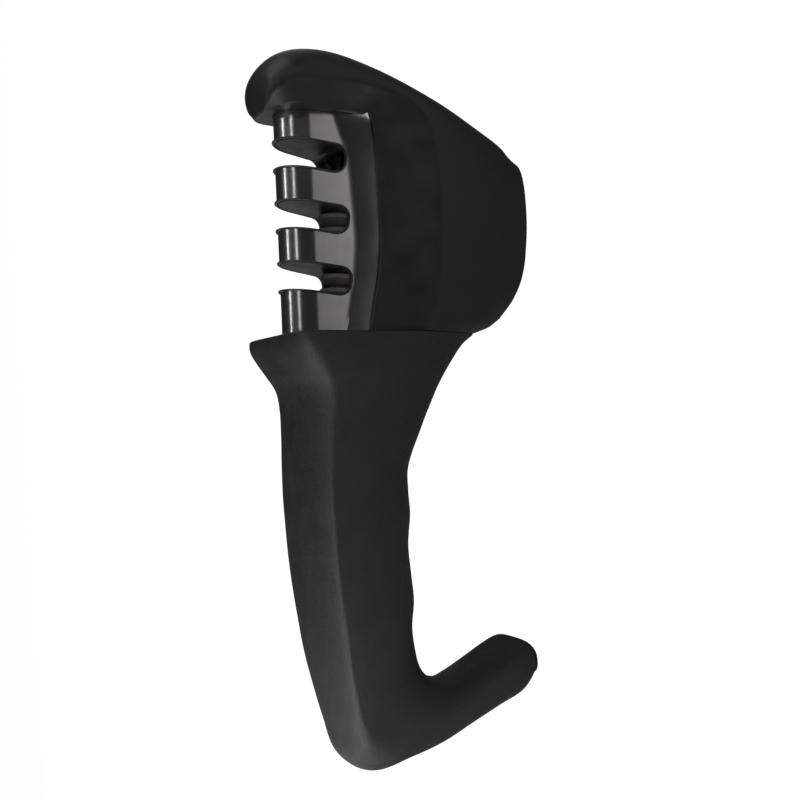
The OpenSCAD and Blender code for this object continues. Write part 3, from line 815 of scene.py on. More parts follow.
FINISHES: dict[Finish, Moulded | Metal | Gritty] = {
    Finish.HEAD: Moulded("head_plastic", (0.0100, 0.0102, 0.0108), (0.022, 0.022, 0.023), rough=0.40,
                         grain=0.22, depth=0.10),
    # Slot plastic is lifted above the housing's black as painted light for the shaded slot interior
    Finish.SLOT: Moulded("slot_plastic", (0.016, 0.016, 0.0165), (0.02, 0.02, 0.021), rough=0.36,
                         grain=0.2, depth=0.06),
    Finish.INNER: Moulded("chassis_plastic", (0.030, 0.032, 0.036), (0.05, 0.05, 0.05), rough=0.45),
    Finish.CORE: Moulded("core_plastic", (0.011, 0.011, 0.012), (0.02, 0.02, 0.02), rough=0.45),
    # The hub's colour is lifted as painted light for the shaded slots
    Finish.HUB: Moulded("hub_plastic", (0.03, 0.03, 0.0295), (0.03, 0.03, 0.03), rough=0.4),
    # The grip's lighter specks are painted glints
    Finish.GRIP: Moulded("grip_rubber", (0.0125, 0.0122, 0.0123), (0.03, 0.03, 0.03), rough=0.50, grain=0.28,
                         depth=0.55, pit=0.6, painted_glint=0.45),
    Finish.PAD: Moulded("pad_rubber", (0.007, 0.007, 0.0072), (0.012, 0.012, 0.012), rough=0.75,
                        grain=0.4, depth=0.4),
    Finish.COVER: Metal("cover_steel", (0.60, 0.585, 0.575), rough=0.20, rough_spread=0.03, depth=0.03),
    Finish.SCREW: Metal("screw_steel", (0.52, 0.53, 0.55), rough=0.3, line=0.2, run=2.0),
    Finish.CARBIDE: Metal("carbide", (0.27, 0.265, 0.27), rough=0.34, line=0.1, run=1.2, depth=0.2),
    # The diamond coat's own dark grey is lifted as painted light for the shaded slots
    Finish.DIAMOND: Gritty("diamond_coat", (0.085, 0.085, 0.09), (0.26, 0.265, 0.28), size=0.16, metal=0.3),
    # The ceramic wheels are coloured near black as painted shade of the deep slots, in place of the ceramic's
    # own pale colour
    Finish.CERAMIC_PAINTED_SHADE: Gritty("ceramic", (0.07, 0.067, 0.064), (0.12, 0.115, 0.11), size=0.12, share=0.4,
                             depth=0.2),
    Finish.INSERT: Metal("insert_brass", (0.71, 0.52, 0.22), rough=0.3, line=0.2, run=2.0, along=1),
}


class Workshop:
    """Hands out the finished materials and puts pieces onto their bodies."""

    def __init__(self) -> None:
        """Builds the node groups and one material for each finish."""
        groups = ShaderGroups()
        self.materials = {key: finish.make(groups) for key, finish in FINISHES.items()}

    def dress(self, obj: Object, finish: Finish, body: Body = Body.SHARPENER,
              replaced: Sequence[str] = ()) -> Object:
        """Gives a new piece its material and body, and hides the CAD nodes that it stands for.

        Args:
            obj: The finished mesh object.
            finish: Its finish.
            body: The CAD body that it rides on.
            replaced: CAD nodes that it replaces.

        Returns:
            The object.
        """
        obj.data.materials.clear()
        obj.data.materials.append(self.materials[finish])
        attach(obj, body.value)
        if replaced:
            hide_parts(*replaced)
        log.info("%s: %d faces on %s", obj.name, len(obj.data.polygons), body.value)
        return obj


@dataclass
class HeadShell:
    """The black housing: nose, hood, scooped sides and flared base.

    Each row of ribs gives the inner end's X and Z, the outer end's X and Z, the share of the rib
    at which the side ridge lies, the half widths at the inner end, at the ridge and beyond it, how
    far the outer end closes and how square it is, all as shares of the overall sizes.
    """

    ribs: np.ndarray = field(default_factory=lambda: np.array([
        [0.412, 0.967, 0.415, 0.976, 0.40, 0.075, 0.084, 0.092, 1.00, 2.4],
        [0.413, 0.957, 0.436, 0.987, 0.35, 0.132, 0.160, 0.172, 1.00, 2.3],
        [0.414, 0.939, 0.466, 0.979, 0.36, 0.190, 0.234, 0.254, 1.00, 2.2],
        [0.414, 0.904, 0.487, 0.932, 0.37, 0.236, 0.286, 0.308, 1.00, 2.1],
        [0.413, 0.856, 0.4975, 0.868, 0.38, 0.253, 0.316, 0.338, 1.00, 2.15],
        [0.410, 0.795, 0.5005, 0.787, 0.38, 0.251, 0.332, 0.354, 1.00, 2.2],
        [0.408, 0.731, 0.496, 0.697, 0.40, 0.247, 0.343, 0.368, 1.00, 2.25],
        [0.405, 0.667, 0.483, 0.596, 0.43, 0.252, 0.357, 0.385, 1.00, 2.35],
        [0.400, 0.623, 0.464, 0.490, 0.48, 0.278, 0.379, 0.407, 1.00, 2.55],
        [0.392, 0.600, 0.439, 0.376, 0.55, 0.302, 0.409, 0.437, 1.00, 2.8],
        [0.384, 0.592, 0.411, 0.247, 0.53, 0.302, 0.425, 0.456, 1.00, 3.3],
        [0.374, 0.590, 0.379, 0.124, 0.44, 0.302, 0.438, 0.473, 1.00, 4.3],
        [0.362, 0.588, 0.354, 0.040, 0.38, 0.302, 0.443, 0.485, 1.00, 5.6],
        [0.350, 0.588, 0.339, 0.010, 0.37, 0.302, 0.445, 0.492, 0.95, 6.0],
        [0.340, 0.588, 0.330, 0.000, 0.37, 0.302, 0.446, 0.498, 0.60, 5.5],
        [0.328, 0.588, 0.319, 0.000, 0.37, 0.302, 0.447, 0.503, 0.25, 4.5],
        [0.302, 0.588, 0.299, 0.000, 0.37, 0.302, 0.449, 0.507, 0.06, 4.0],
        [0.270, 0.588, 0.270, 0.000, 0.37, 0.302, 0.449, 0.509, 0.01, 3.0],
        [0.233, 0.591, 0.233, 0.000, 0.37, 0.302, 0.443, 0.497, 0.00, 2.5],
        [0.196, 0.603, 0.195, 0.000, 0.37, 0.302, 0.428, 0.462, 0.00, 2.2],
        [0.168, 0.619, 0.166, 0.000, 0.38, 0.302, 0.413, 0.432, 0.12, 2.2],
        [0.145, 0.636, 0.140, 0.000, 0.39, 0.302, 0.398, 0.412, 0.46, 2.1],
        [0.127, 0.649, 0.119, 0.000, 0.38, 0.302, 0.386, 0.394, 0.82, 2.0],
        [0.115, 0.656, 0.104, 0.025, 0.37, 0.302, 0.378, 0.384, 1.00, 2.0],
        [0.107, 0.661, 0.097, 0.075, 0.37, 0.302, 0.372, 0.377, 1.00, 1.9],
        [0.1006, 0.665, 0.0919, 0.130, 0.40, 0.302, 0.366, 0.370, 1.00, 1.9]]))
    steps: int = 9
    scoop_steps: int = 20
    skirt_steps: int = 38
    wall: float = 2.2
    lift: float = 0.5
    edge_r: float = 0.35
    scoop_bend: float = 1.2
    open_power: float = 0.3
    edge_marks: tuple[float, ...] = (0.1, 0.3, 0.6)
    ridge_marks: tuple[float, ...] = (0.0, 0.012, 0.026, 0.042, 0.06)
    skirt_power: float = 3.5
    skirt_apart: Pair = (0.006, 0.0001)
    skirt_fill: float = 0.4
    plain_steps: tuple[int, int] = (5, 10)
    plain_half: float = 0.15
    ridge_turns: int = 5
    ridge_reach: int = 4
    close_from: float = 0.35
    close_gaps: tuple[float, ...] = (0.34, 0.25, 0.16, 0.09, 0.04, 0.0)
    last_gap: float = 1.1
    hollow: Pair = (3.0, 22.5)
    seat_half: float = 1.13 * COVER_R
    flange: float = 1.4
    past_seam: float = 2.0
    block_wall: float = 1.8
    bite: float = 0.001
    arch_tuck: float = 0.8
    arch_share: float = 0.6
    well_in: Pair = (0.6, 1.0)
    well_rise: float = 0.6

    def half(self, r: np.ndarray, v: float) -> float:
        """Gives the half width at a share of a rib.

        Args:
            r: The rib's row.
            v: Share from the inner end to the outer end.

        Returns:
            The half width.
        """
        ridge, inner, widest, beyond, closing, power = r[4:]
        if v < ridge:
            return BODY_W * (inner + (widest - inner) * (v / ridge) ** self.scoop_bend)
        s = min(max((v - ridge) / (1 - ridge), 0.0), 1.0)
        close = min(max(closing, 0.0), 1.0)
        return BODY_W * (widest + (beyond - widest) * s) * max(1 - close * s ** power, 0.0) ** (1 / power)

    def ring(self, r: np.ndarray, wall: float, fine: bool = True) -> list[Point]:
        """Gives a closed ring of points round one rib.

        Args:
            r: The rib's row.
            wall: How far it is drawn in.
            fine: Whether the edges are rounded and the steps are small.

        Returns:
            The ring's points.
        """
        inner_x, inner_z, outer_x, outer_z, ridge = r[:5]
        a0 = np.array([inner_x * BODY_L, inner_z * BODY_H])
        b0 = np.array([outer_x * BODY_L, max(outer_z * BODY_H, self.lift)])
        along = (b0 - a0) / np.linalg.norm(b0 - a0)
        close = min(max(r[-2], 0.0), 1.0)
        flat = 0.0 if fine else 1.0 - close
        a = a0 + wall * along
        b = b0 - (1 - flat) * wall * along + flat * (1.0 + self.lift) * along
        length = float(np.linalg.norm(b - a))
        shares = self.shares(ridge, length) if fine else self.plain_shares(ridge)
        open_end = (1 - close) ** self.open_power
        side = []
        for v in shares:
            half = self.half(r, v) - wall
            if fine:
                half -= round_off(v * length, self.edge_r)
                half -= open_end * round_off((1 - v) * length, self.edge_r)
            p = a + (b - a) * v
            side.append((p[0], max(half, 0.0 if fine else self.plain_half), p[1]))
        return side + [(x, -y, z) for x, y, z in reversed(side)]

    def shares(self, q: float, length: float) -> list[float]:
        """Gives fine shares along a rib, close together at both ends and at the ridge.

        Args:
            q: The ridge's share.
            length: The rib's length.

        Returns:
            Rising shares from 0 to 1.
        """
        edge = [self.edge_r * k / length for k in self.edge_marks]
        scoop = [q * k / self.scoop_steps for k in range(1, self.scoop_steps)]
        near = [q + (1 - q) * s for s in self.ridge_marks]
        steps, power = self.skirt_steps, self.skirt_power
        skirt = [q + (1 - q) * (1 - (1 - k / steps) ** power) for k in range(1, steps)]
        low, high = near[-1] + self.skirt_apart[0], 1 - edge[-1] - self.skirt_apart[1]
        skirt = [v for v in skirt if low < v < high]
        while len(skirt) < steps:
            skirt.append(skirt[-1] + (1 - edge[-1] - skirt[-1]) * self.skirt_fill)
        return [0.0] + edge + scoop + near + sorted(skirt) + [1 - e for e in reversed(edge)] + [1.0]

    def plain_shares(self, q: float) -> list[float]:
        """Gives coarse shares along a rib, for the hollow.

        Args:
            q: The ridge's share.

        Returns:
            Rising shares from 0 to 1.
        """
        scoop, skirt = self.plain_steps
        inner = [q * k / scoop for k in range(scoop + 1)]
        return inner + [q + (1 - q) * (1 - (1 - k / skirt) ** 2) for k in range(1, skirt + 1)]

    def outside(self) -> Object:
        """Builds the closed outer form with a rounded seam edge and a softened side ridge.

        Returns:
            The closed object.
        """
        last = len(self.ribs) - 1
        places = [i / self.steps for i in range(last * self.steps)]
        places = [u for u in places if u < last - self.close_from] + [last - d for d in self.close_gaps]
        rings = []
        for u in places:
            wall = round_off(self.last_gap * (last - u), self.edge_r)
            rings.append(self.ring(blend_rows(self.ribs, u), wall))
        grid = np.array(rings)
        n, reach = grid.shape[1], self.ridge_reach
        at = self.scoop_steps + reach
        for _ in range(self.ridge_turns):
            for middle in (at, n - 1 - at):
                part = grid[:, middle - reach:middle + reach + 1]
                part[:, 1:-1] = 0.25 * part[:, :-2] + 0.5 * part[:, 1:-1] + 0.25 * part[:, 2:]
        return ring_skin("head_shell", grid)

    def inside(self) -> Object:
        """Builds the hollow of the housing, which runs out through the base.

        Returns:
            The closed cutting tool.
        """
        count = round(2 * (self.hollow[1] - self.hollow[0]))
        span = self.hollow[1] - self.hollow[0]
        rows = [blend_rows(self.ribs, self.hollow[0] + span * i / count) for i in range(count + 1)]
        return ring_skin("tool", np.array([self.ring(r, self.wall, fine=False) for r in rows]))

    def build(self, cover: "SteelCover") -> Object:
        """Builds the hollow shell with its openings for the cover, the slot block and the base.

        Args:
            cover: The steel cover that tucks into it.

        Returns:
            The shell.
        """
        shell = self.outside()
        block_half = COVER_R - SHEET_T
        arch_foot = block_half - SHEET_T
        well = block_half - SOFT_GAP - self.block_wall
        x0, x1 = SEAM_X - self.past_seam, cover.x1 + SOFT_GAP
        tools = [
            self.inside(),
            cover.solid(-SOFT_GAP, SOFT_GAP),
            box_tool((x0, -self.seat_half, DECK_Z), (x1, self.seat_half, DECK_Z + self.flange + SOFT_GAP)),
            box_tool((x0, -arch_foot, DECK_Z - self.bite),
                     (cover.x1 - self.arch_tuck, arch_foot, DECK_Z + self.arch_share * COVER_R)),
            box_tool((cover.x0 + self.well_in[0], -well, DECK_Z - self.wall - 1),
                     (cover.x1 - self.well_in[1], well, DECK_Z + self.well_rise)),
        ]
        combine(shell, tools, "DIFFERENCE")
        clean_up(shell, FINE_MERGE, turn=False)
        smooth(shell)
        return shell


@dataclass
class SteelCover:
    """The arched sheet over the stages, flared out at its lower edges, with three notches.

    Each row of ribs gives X along the cover, the height at which its sides start to flare, the
    height of its lower edge and the half width there.
    """

    ribs: np.ndarray = field(default_factory=lambda: np.array([
        [0.000, 0.736, 0.6670, 0.276],
        [0.130, 0.706, 0.6400, 0.279],
        [0.260, 0.680, 0.6120, 0.285],
        [0.400, 0.662, 0.5940, 0.292],
        [0.580, 0.662, 0.5885, 0.297],
        [0.760, 0.670, 0.5885, 0.300],
        [0.900, 0.705, 0.6010, 0.302],
        [1.000, 0.730, 0.6120, 0.262]]))
    x0: float = SEAM_X + SOFT_GAP
    x1: float = 0.411 * BODY_L + 2.6
    steps: int = 8
    flare_steps: int = 14
    arch_steps: int = 72
    plain_steps: tuple[int, int] = (6, 28)
    lean_fade: float = 6.0
    flare_bend: float = 1.2
    samples: int = 141
    probe: float = 0.05
    facing: float = 0.93

    def section(self, u: float, draw: float, fine: bool) -> list[Point]:
        """Gives the sheet's section at a place of the table.

        Args:
            u: Place in the table.
            draw: How far the surface is drawn in.
            fine: Whether the steps are small.

        Returns:
            X, Y and Z of the points from one lower edge over the top to the other.
        """
        r = blend_rows(self.ribs, u)
        x = self.x0 + (self.x1 - self.x0) * r[0]
        zf, ze, half = r[1] * BODY_H, r[2] * BODY_H, r[3] * BODY_W
        flares, arches = (self.flare_steps, self.arch_steps) if fine else self.plain_steps
        flare = []
        for k in range(flares):
            s = k / flares
            z = ze + (zf - ze) * s
            flare.append((arch_half(x, z, -draw) + (half - arch_half(x, ze)) * (1 - s) ** self.flare_bend, z))
        points = flare + arch_outline(x, zf, -draw, arches) + [(-y, z) for y, z in reversed(flare)]
        fade = max(1 - (x - self.x0) / self.lean_fade, 0.0)
        return [(x + fade * (seam_at(z) - SEAM_X), y, z) for y, z in points]

    def solid(self, draw: float, past: float) -> Object:
        """Builds the space under the cover as a closed cutting tool.

        Args:
            draw: How far its surface is drawn in.
            past: How far it runs past the front end.

        Returns:
            The closed object.
        """
        last = len(self.ribs) - 1
        rings = []
        for i in range(3 * last + 1):
            shift = -1.0 if i == 0 else past if i == 3 * last else 0.0
            rings.append([(x + shift, y, z) for x, y, z in self.section(i / 3, draw, fine=False)])
        return ring_skin("tool", np.array(rings))

    def build(self) -> Object:
        """Builds the sheet with its thickness, cuts the notches and sets exact normals.

        Returns:
            The cover.
        """
        last = len(self.ribs) - 1
        rings = []
        for i in range(last * self.steps + 1):
            outer = self.section(i / self.steps, 0.0, fine=True)
            inner = self.section(i / self.steps, SHEET_T, fine=True)
            rings.append(outer + inner[::-1])
        grid = np.array(rings)
        count, n = grid.shape[0], grid.shape[1]
        faces = []
        for i in range(count - 1):
            for j in range(n):
                k = (j + 1) % n
                faces.append((i * n + j, i * n + k, (i + 1) * n + k, (i + 1) * n + j))
        end = (count - 1) * n
        for j in range(n // 2 - 1):
            faces.append((j, j + 1, n - 2 - j, n - 1 - j))
            faces.append((end + j + 1, end + j, end + n - 1 - j, end + n - 2 - j))
        cover = new_object("steel_cover_shell", grid.reshape(-1, 3), faces)
        clean_up(cover)
        grow = LIP_BACK + RIM_W + PLAY
        notches = [prism("tool", slot_outline(grow, k), 1, -BODY_W, BODY_W) for k in STAGES]
        combine(cover, notches, "DIFFERENCE")
        clean_up(cover, FINE_MERGE, turn=False)
        self.set_normals(cover)
        return cover

    def outward(self, p: Vector) -> Vector:
        """Gives the sheet's outward direction at a point, from its own curves.

        Args:
            p: The point in metres.

        Returns:
            The unit direction.
        """
        x, y, z = (v / MM for v in p)
        rise = z - arch_axis(x) - COVER_R + SHOULDER_R
        if rise > SHOULDER_R * math.sin(SIDE_LEAN):
            return Vector((ARCH_FALL * rise, y, rise)).normalized()
        step = self.probe
        slope_x = (self.side(x + step, z) - self.side(x - step, z)) / (2 * step)
        slope_z = (self.side(x, z + step) - self.side(x, z - step)) / (2 * step)
        return Vector((-slope_x, math.copysign(1.0, y), -slope_z)).normalized()

    def side(self, x: float, z: float) -> float:
        """Gives the half width of the sheet's side at a place and height.

        Args:
            x: Place along the part.
            z: Height above the table.

        Returns:
            The half width.
        """
        share = (x - self.x0) / (self.x1 - self.x0)
        u = float(np.interp(share, self.lengths, self.places))
        r = blend_rows(self.ribs, u)
        zf, ze, half = r[1] * BODY_H, r[2] * BODY_H, r[3] * BODY_W
        s = min(max((z - ze) / (zf - ze), 0.0), 1.0)
        return arch_half(x, z) + (half - arch_half(x, ze)) * (1 - s) ** self.flare_bend

    def __post_init__(self) -> None:
        """Notes where along the cover each place of the table lies."""
        self.places = np.linspace(0, len(self.ribs) - 1, self.samples)
        self.lengths = np.array([blend_rows(self.ribs, u)[0] for u in self.places])

    def set_normals(self, cover: Object) -> None:
        """Gives the curved faces the exact normals of the sheet, and cut faces their own.

        Args:
            cover: The finished cover.
        """
        mesh = cover.data
        mesh.shade_smooth()
        normals = [Vector((0, 0, 1))] * len(mesh.loops)
        for face in mesh.polygons:
            for loop in face.loop_indices:
                true = self.outward(mesh.vertices[mesh.loops[loop].vertex_index].co)
                if true.dot(face.normal) > self.facing:
                    normals[loop] = true
                elif true.dot(face.normal) < -self.facing:
                    normals[loop] = -true
                else:
                    normals[loop] = face.normal.copy()
        mesh.normals_split_custom_set(normals)


class Growth:
    """Lays out a Geometry Nodes tree with named inputs and grows a plain mesh with it."""

    def __init__(self, name: str, inputs: dict[str, str]) -> None:
        """Starts a tree.

        Args:
            name: The tree's name.
            inputs: Socket type of each named input. A material input is added.
        """
        self.tree = bpy.data.node_groups.new(name, "GeometryNodeTree")
        self.tree.is_modifier = True
        self.tree.interface.new_socket("Geometry", in_out="OUTPUT", socket_type="NodeSocketGeometry")
        sockets = {"Geometry": "NodeSocketGeometry", **inputs, "Material": "NodeSocketMaterial"}
        for label, kind in sockets.items():
            self.tree.interface.new_socket(label, in_out="INPUT", socket_type=kind)
        self.s = Shades(self.tree)
        self.given = self.s.add("NodeGroupInput").outputs
        self.out = self.s.add("NodeGroupOutput")

    def add(self, kind: str, **values: object) -> Socket:
        """Adds a node and gives its first output."""
        return self.s.add(kind, **values).outputs[0]

    def vector(self, x: object = 0.0, y: object = 0.0, z: object = 0.0) -> Socket:
        """Makes a vector of three values or sockets."""
        return self.add("ShaderNodeCombineXYZ", X=x, Y=y, Z=z)

    def move(self, shape: Socket, to: object, turn: object = (0.0, 0.0, 0.0)) -> Socket:
        """Moves and turns a shape."""
        return self.add("GeometryNodeTransform", Geometry=shape, Translation=to, Rotation=turn)

    def join(self, shapes: Sequence[Socket]) -> Socket:
        """Joins shapes without merging them.

        Args:
            shapes: The shapes.

        Returns:
            The joined shape.
        """
        node = self.s.add("GeometryNodeJoinGeometry")
        for shape in shapes:
            self.tree.links.new(shape, node.inputs[0])
        return node.outputs[0]

    def solid(self, operation: str, first: Socket, others: Sequence[Socket]) -> Socket:
        """Unites shapes with the first one or cuts them from it.

        Args:
            operation: UNION or DIFFERENCE.
            first: The first shape.
            others: The other shapes.

        Returns:
            The resulting shape.
        """
        node = self.s.add("GeometryNodeMeshBoolean", operation=operation, solver="MANIFOLD")
        if operation == "DIFFERENCE":
            self.tree.links.new(first, node.inputs["Mesh 1"])
        else:
            others = [first, *others]
        for shape in others:
            self.tree.links.new(shape, node.inputs["Mesh 2"])
        return node.outputs[0]

    def end(self, shape: Socket) -> None:
        """Realizes the instances, sets the material and closes the tree.

        Args:
            shape: The shape that the tree gives.
        """
        real = self.add("GeometryNodeRealizeInstances", Geometry=shape)
        done = self.add("GeometryNodeSetMaterial", Geometry=real, Material=self.given["Material"])
        self.tree.links.new(done, self.out.inputs[0])

    def grow(self, obj: Object, values: dict[str, object]) -> Object:
        """Runs the tree on an object's mesh and keeps the result as its plain mesh.

        Args:
            obj: The object with the points or paths that the tree starts from.
            values: Value of each named input.

        Returns:
            The object.
        """
        step = obj.modifiers.new("growth", "NODES")
        step.node_group = self.tree
        sockets = {i.name: i.identifier for i in self.tree.interface.items_tree if i.in_out == "INPUT"}
        for label, value in values.items():
            step[sockets[label]] = value
        bake(obj)
        return obj


@dataclass
class SlotBlock:
    """The black block under the cover, with three leaning slots and their rounded rims."""

    flange: float = 1.4
    rim_round: float = 0.22
    rim_out: float = LIP_BACK + RIM_W / 2
    lip_steps: int = 44
    side_steps: int = 8
    corner_steps: int = 10
    floor_steps: int = 3
    foot_lift: float = 0.1
    merge: float = 0.0005
    crease: float = 45.0
    fillet_steps: int = 4

    def arch(self, grow: float, low: float, x0: float, x1: float) -> Object:
        """Builds the space under the arch between two places.

        Args:
            grow: How far its outline is grown.
            low: Height of its feet.
            x0: Where it starts.
            x1: Where it ends.

        Returns:
            The closed object.
        """
        rings = [[(x, y, z) for y, z in arch_outline(x, low, grow)] for x in (x0, x1)]
        return ring_skin("tool", np.array(rings))

    def body(self, cad: Object) -> Object:
        """Cuts the CAD block down to the rounder arch that shows.

        Args:
            cad: The CAD block.

        Returns:
            The block without its rims.
        """
        block = bpy.data.objects.new("slot_block_shell", cad.data.copy())
        bpy.context.scene.collection.objects.link(block)
        block.data.transform(cad.matrix_world)
        clean_up(block)
        low = DECK_Z + self.flange + SOFT_GAP
        under = box_tool((0.0, -BODY_W, 0.0), (BODY_L, BODY_W, low))
        keep = combine(self.arch(-SHEET_T - PLAY, low - 1.0, 0.0, BODY_L), [under], "UNION")
        wider = [prism("tool", slot_outline(LIP_BACK, k), 1, -BODY_W, BODY_W) for k in STAGES]
        return combine(combine(block, [keep], "INTERSECT"), wider, "DIFFERENCE")

    def lip(self, stage: int) -> tuple[list[Point], list[Point]]:
        """Follows the rim of one slot once round.

        Args:
            stage: Stage number.

        Returns:
            The path's points and the cover's outward directions there.
        """
        half = SLOT_W / 2 + self.rim_out
        radius = SHOULDER_R + RIM_PROUD / 2
        path = []
        for wall in (1, -1):
            near = self.wall_points(wall * half, stage, radius, SLOT_CORNER + self.foot_lift)
            path += near if wall > 0 else near[::-1]
            side = -1.0 if wall > 0 else 1.0
            path += self.floor_points(wall, half, stage, side)
        ways = []
        for x, y, z in path:
            rise = z - arch_axis(x) - COVER_R + SHOULDER_R
            if rise > SHOULDER_R * math.sin(SIDE_LEAN):
                way = Vector((0.0, y, rise))
            else:
                way = Vector((0.0, math.copysign(math.cos(SIDE_LEAN), y), math.sin(SIDE_LEAN)))
            ways.append(tuple(way.normalized()))
        return path, ways

    def wall_points(self, u: float, stage: int, radius: float, foot: float) -> list[Point]:
        """Follows one wall of a slot over the arch, from the far side to the near side.

        Args:
            u: Place across the slot.
            stage: Stage number.
            radius: The arch's radius at the path.
            foot: Height above the slot's floor where the path starts and ends.

        Returns:
            The points.
        """
        x, z = lean(u, foot, stage)
        rise = (z - arch_axis(x) - COVER_R + SHOULDER_R) / radius
        first = math.asin(min(max(rise, math.sin(SIDE_LEAN)), 1.0))
        grow = radius - SHOULDER_R
        x_floor, z_floor = lean(u, 0.0, stage)
        climb = math.cos(SLOT_LEAN) + ARCH_FALL * math.sin(SLOT_LEAN)
        points = []
        turn = [first + (math.pi - 2 * first) * k / self.lip_steps for k in range(self.lip_steps + 1)]
        for f in turn:
            rise = COVER_R - SHOULDER_R + radius * math.sin(f)
            x, z = lean(u, (arch_axis(x_floor) + rise - z_floor) / climb, stage)
            points.append((x, radius * math.cos(f), z))
        side = []
        top = (points[0][2] - z_floor) / math.cos(SLOT_LEAN)
        for k in range(self.side_steps):
            x, z = lean(u, foot + (top - foot) * k / self.side_steps, stage)
            side.append((x, arch_half(x, z, grow), z))
        return side + points + [(x, -y, z) for x, y, z in reversed(side)]

    def floor_points(self, wall: int, half: float, stage: int, side: float) -> list[Point]:
        """Follows a slot's floor on one side of the arch, with its rounded corners.

        Args:
            wall: 1 when it starts at the wall nearest the nose, otherwise -1.
            half: Half width of the path across the slot.
            stage: Stage number.
            side: 1 or -1, the side of the arch.

        Returns:
            The points between the two walls.
        """
        corner = SLOT_CORNER + self.rim_out
        flat = []
        for k in range(1, self.corner_steps):
            a = -0.5 * math.pi * k / self.corner_steps
            flat.append((half - corner + corner * math.cos(a), corner - self.rim_out + corner * math.sin(a)))
        steps = self.floor_steps
        flat += [((half - corner) * (1 - k / steps), -self.rim_out) for k in range(steps)]
        both = flat + [(-u, t) for u, t in reversed(flat[:-1])]
        points = []
        for u, t in both:
            x, z = lean(wall * u, t, stage)
            points.append((x, side * arch_half(x, z, RIM_PROUD / 2), z))
        return points

    def rims(self, shop: "Workshop") -> Object:
        """Grows the rims: one rounded section swept along each slot's path.

        Args:
            shop: The workshop with the materials.

        Returns:
            The three rims.
        """
        growth = Growth("rim_sweep", {name: "NodeSocketFloat" for name in ("Width", "Height", "Round")})
        given = growth.given
        path = growth.add("GeometryNodeMeshToCurve", Mesh=given["Geometry"])
        out = growth.s.add("GeometryNodeInputNamedAttribute", data_type="FLOAT_VECTOR", Name="outward")
        free = growth.add("GeometryNodeSetCurveNormal", mode="FREE", Curve=path, Normal=out.outputs[0])
        bar = growth.add("GeometryNodeCurvePrimitiveQuadrilateral", Width=given["Height"],
                         Height=given["Width"])
        soft = growth.add("GeometryNodeFilletCurve", Curve=bar, mode="POLY", Count=self.fillet_steps,
                          Radius=given["Round"])
        growth.end(growth.add("GeometryNodeCurveToMesh", Curve=free, Profile_Curve=soft))
        points, edges, ways = [], [], []
        for k in STAGES:
            path_points, path_ways = self.lip(k)
            start, count = len(points), len(path_points)
            points += path_points
            ways += path_ways
            edges += [(start + i, start + (i + 1) % count) for i in range(count)]
        mesh = bpy.data.meshes.new("slot_rims")
        mesh.from_pydata([tuple(MM * v for v in p) for p in points], edges, [])
        held = mesh.attributes.new("outward", "FLOAT_VECTOR", "POINT")
        held.data.foreach_set("vector", [v for way in ways for v in way])
        obj = bpy.data.objects.new("slot_rims", mesh)
        bpy.context.scene.collection.objects.link(obj)
        growth.grow(obj, {"Width": RIM_W * MM, "Height": (RIM_PROUD + SHEET_T) * MM,
                          "Round": self.rim_round * MM, "Material": shop.materials[Finish.SLOT]})
        clean_up(obj, self.merge)
        smooth(obj, self.crease)
        return obj


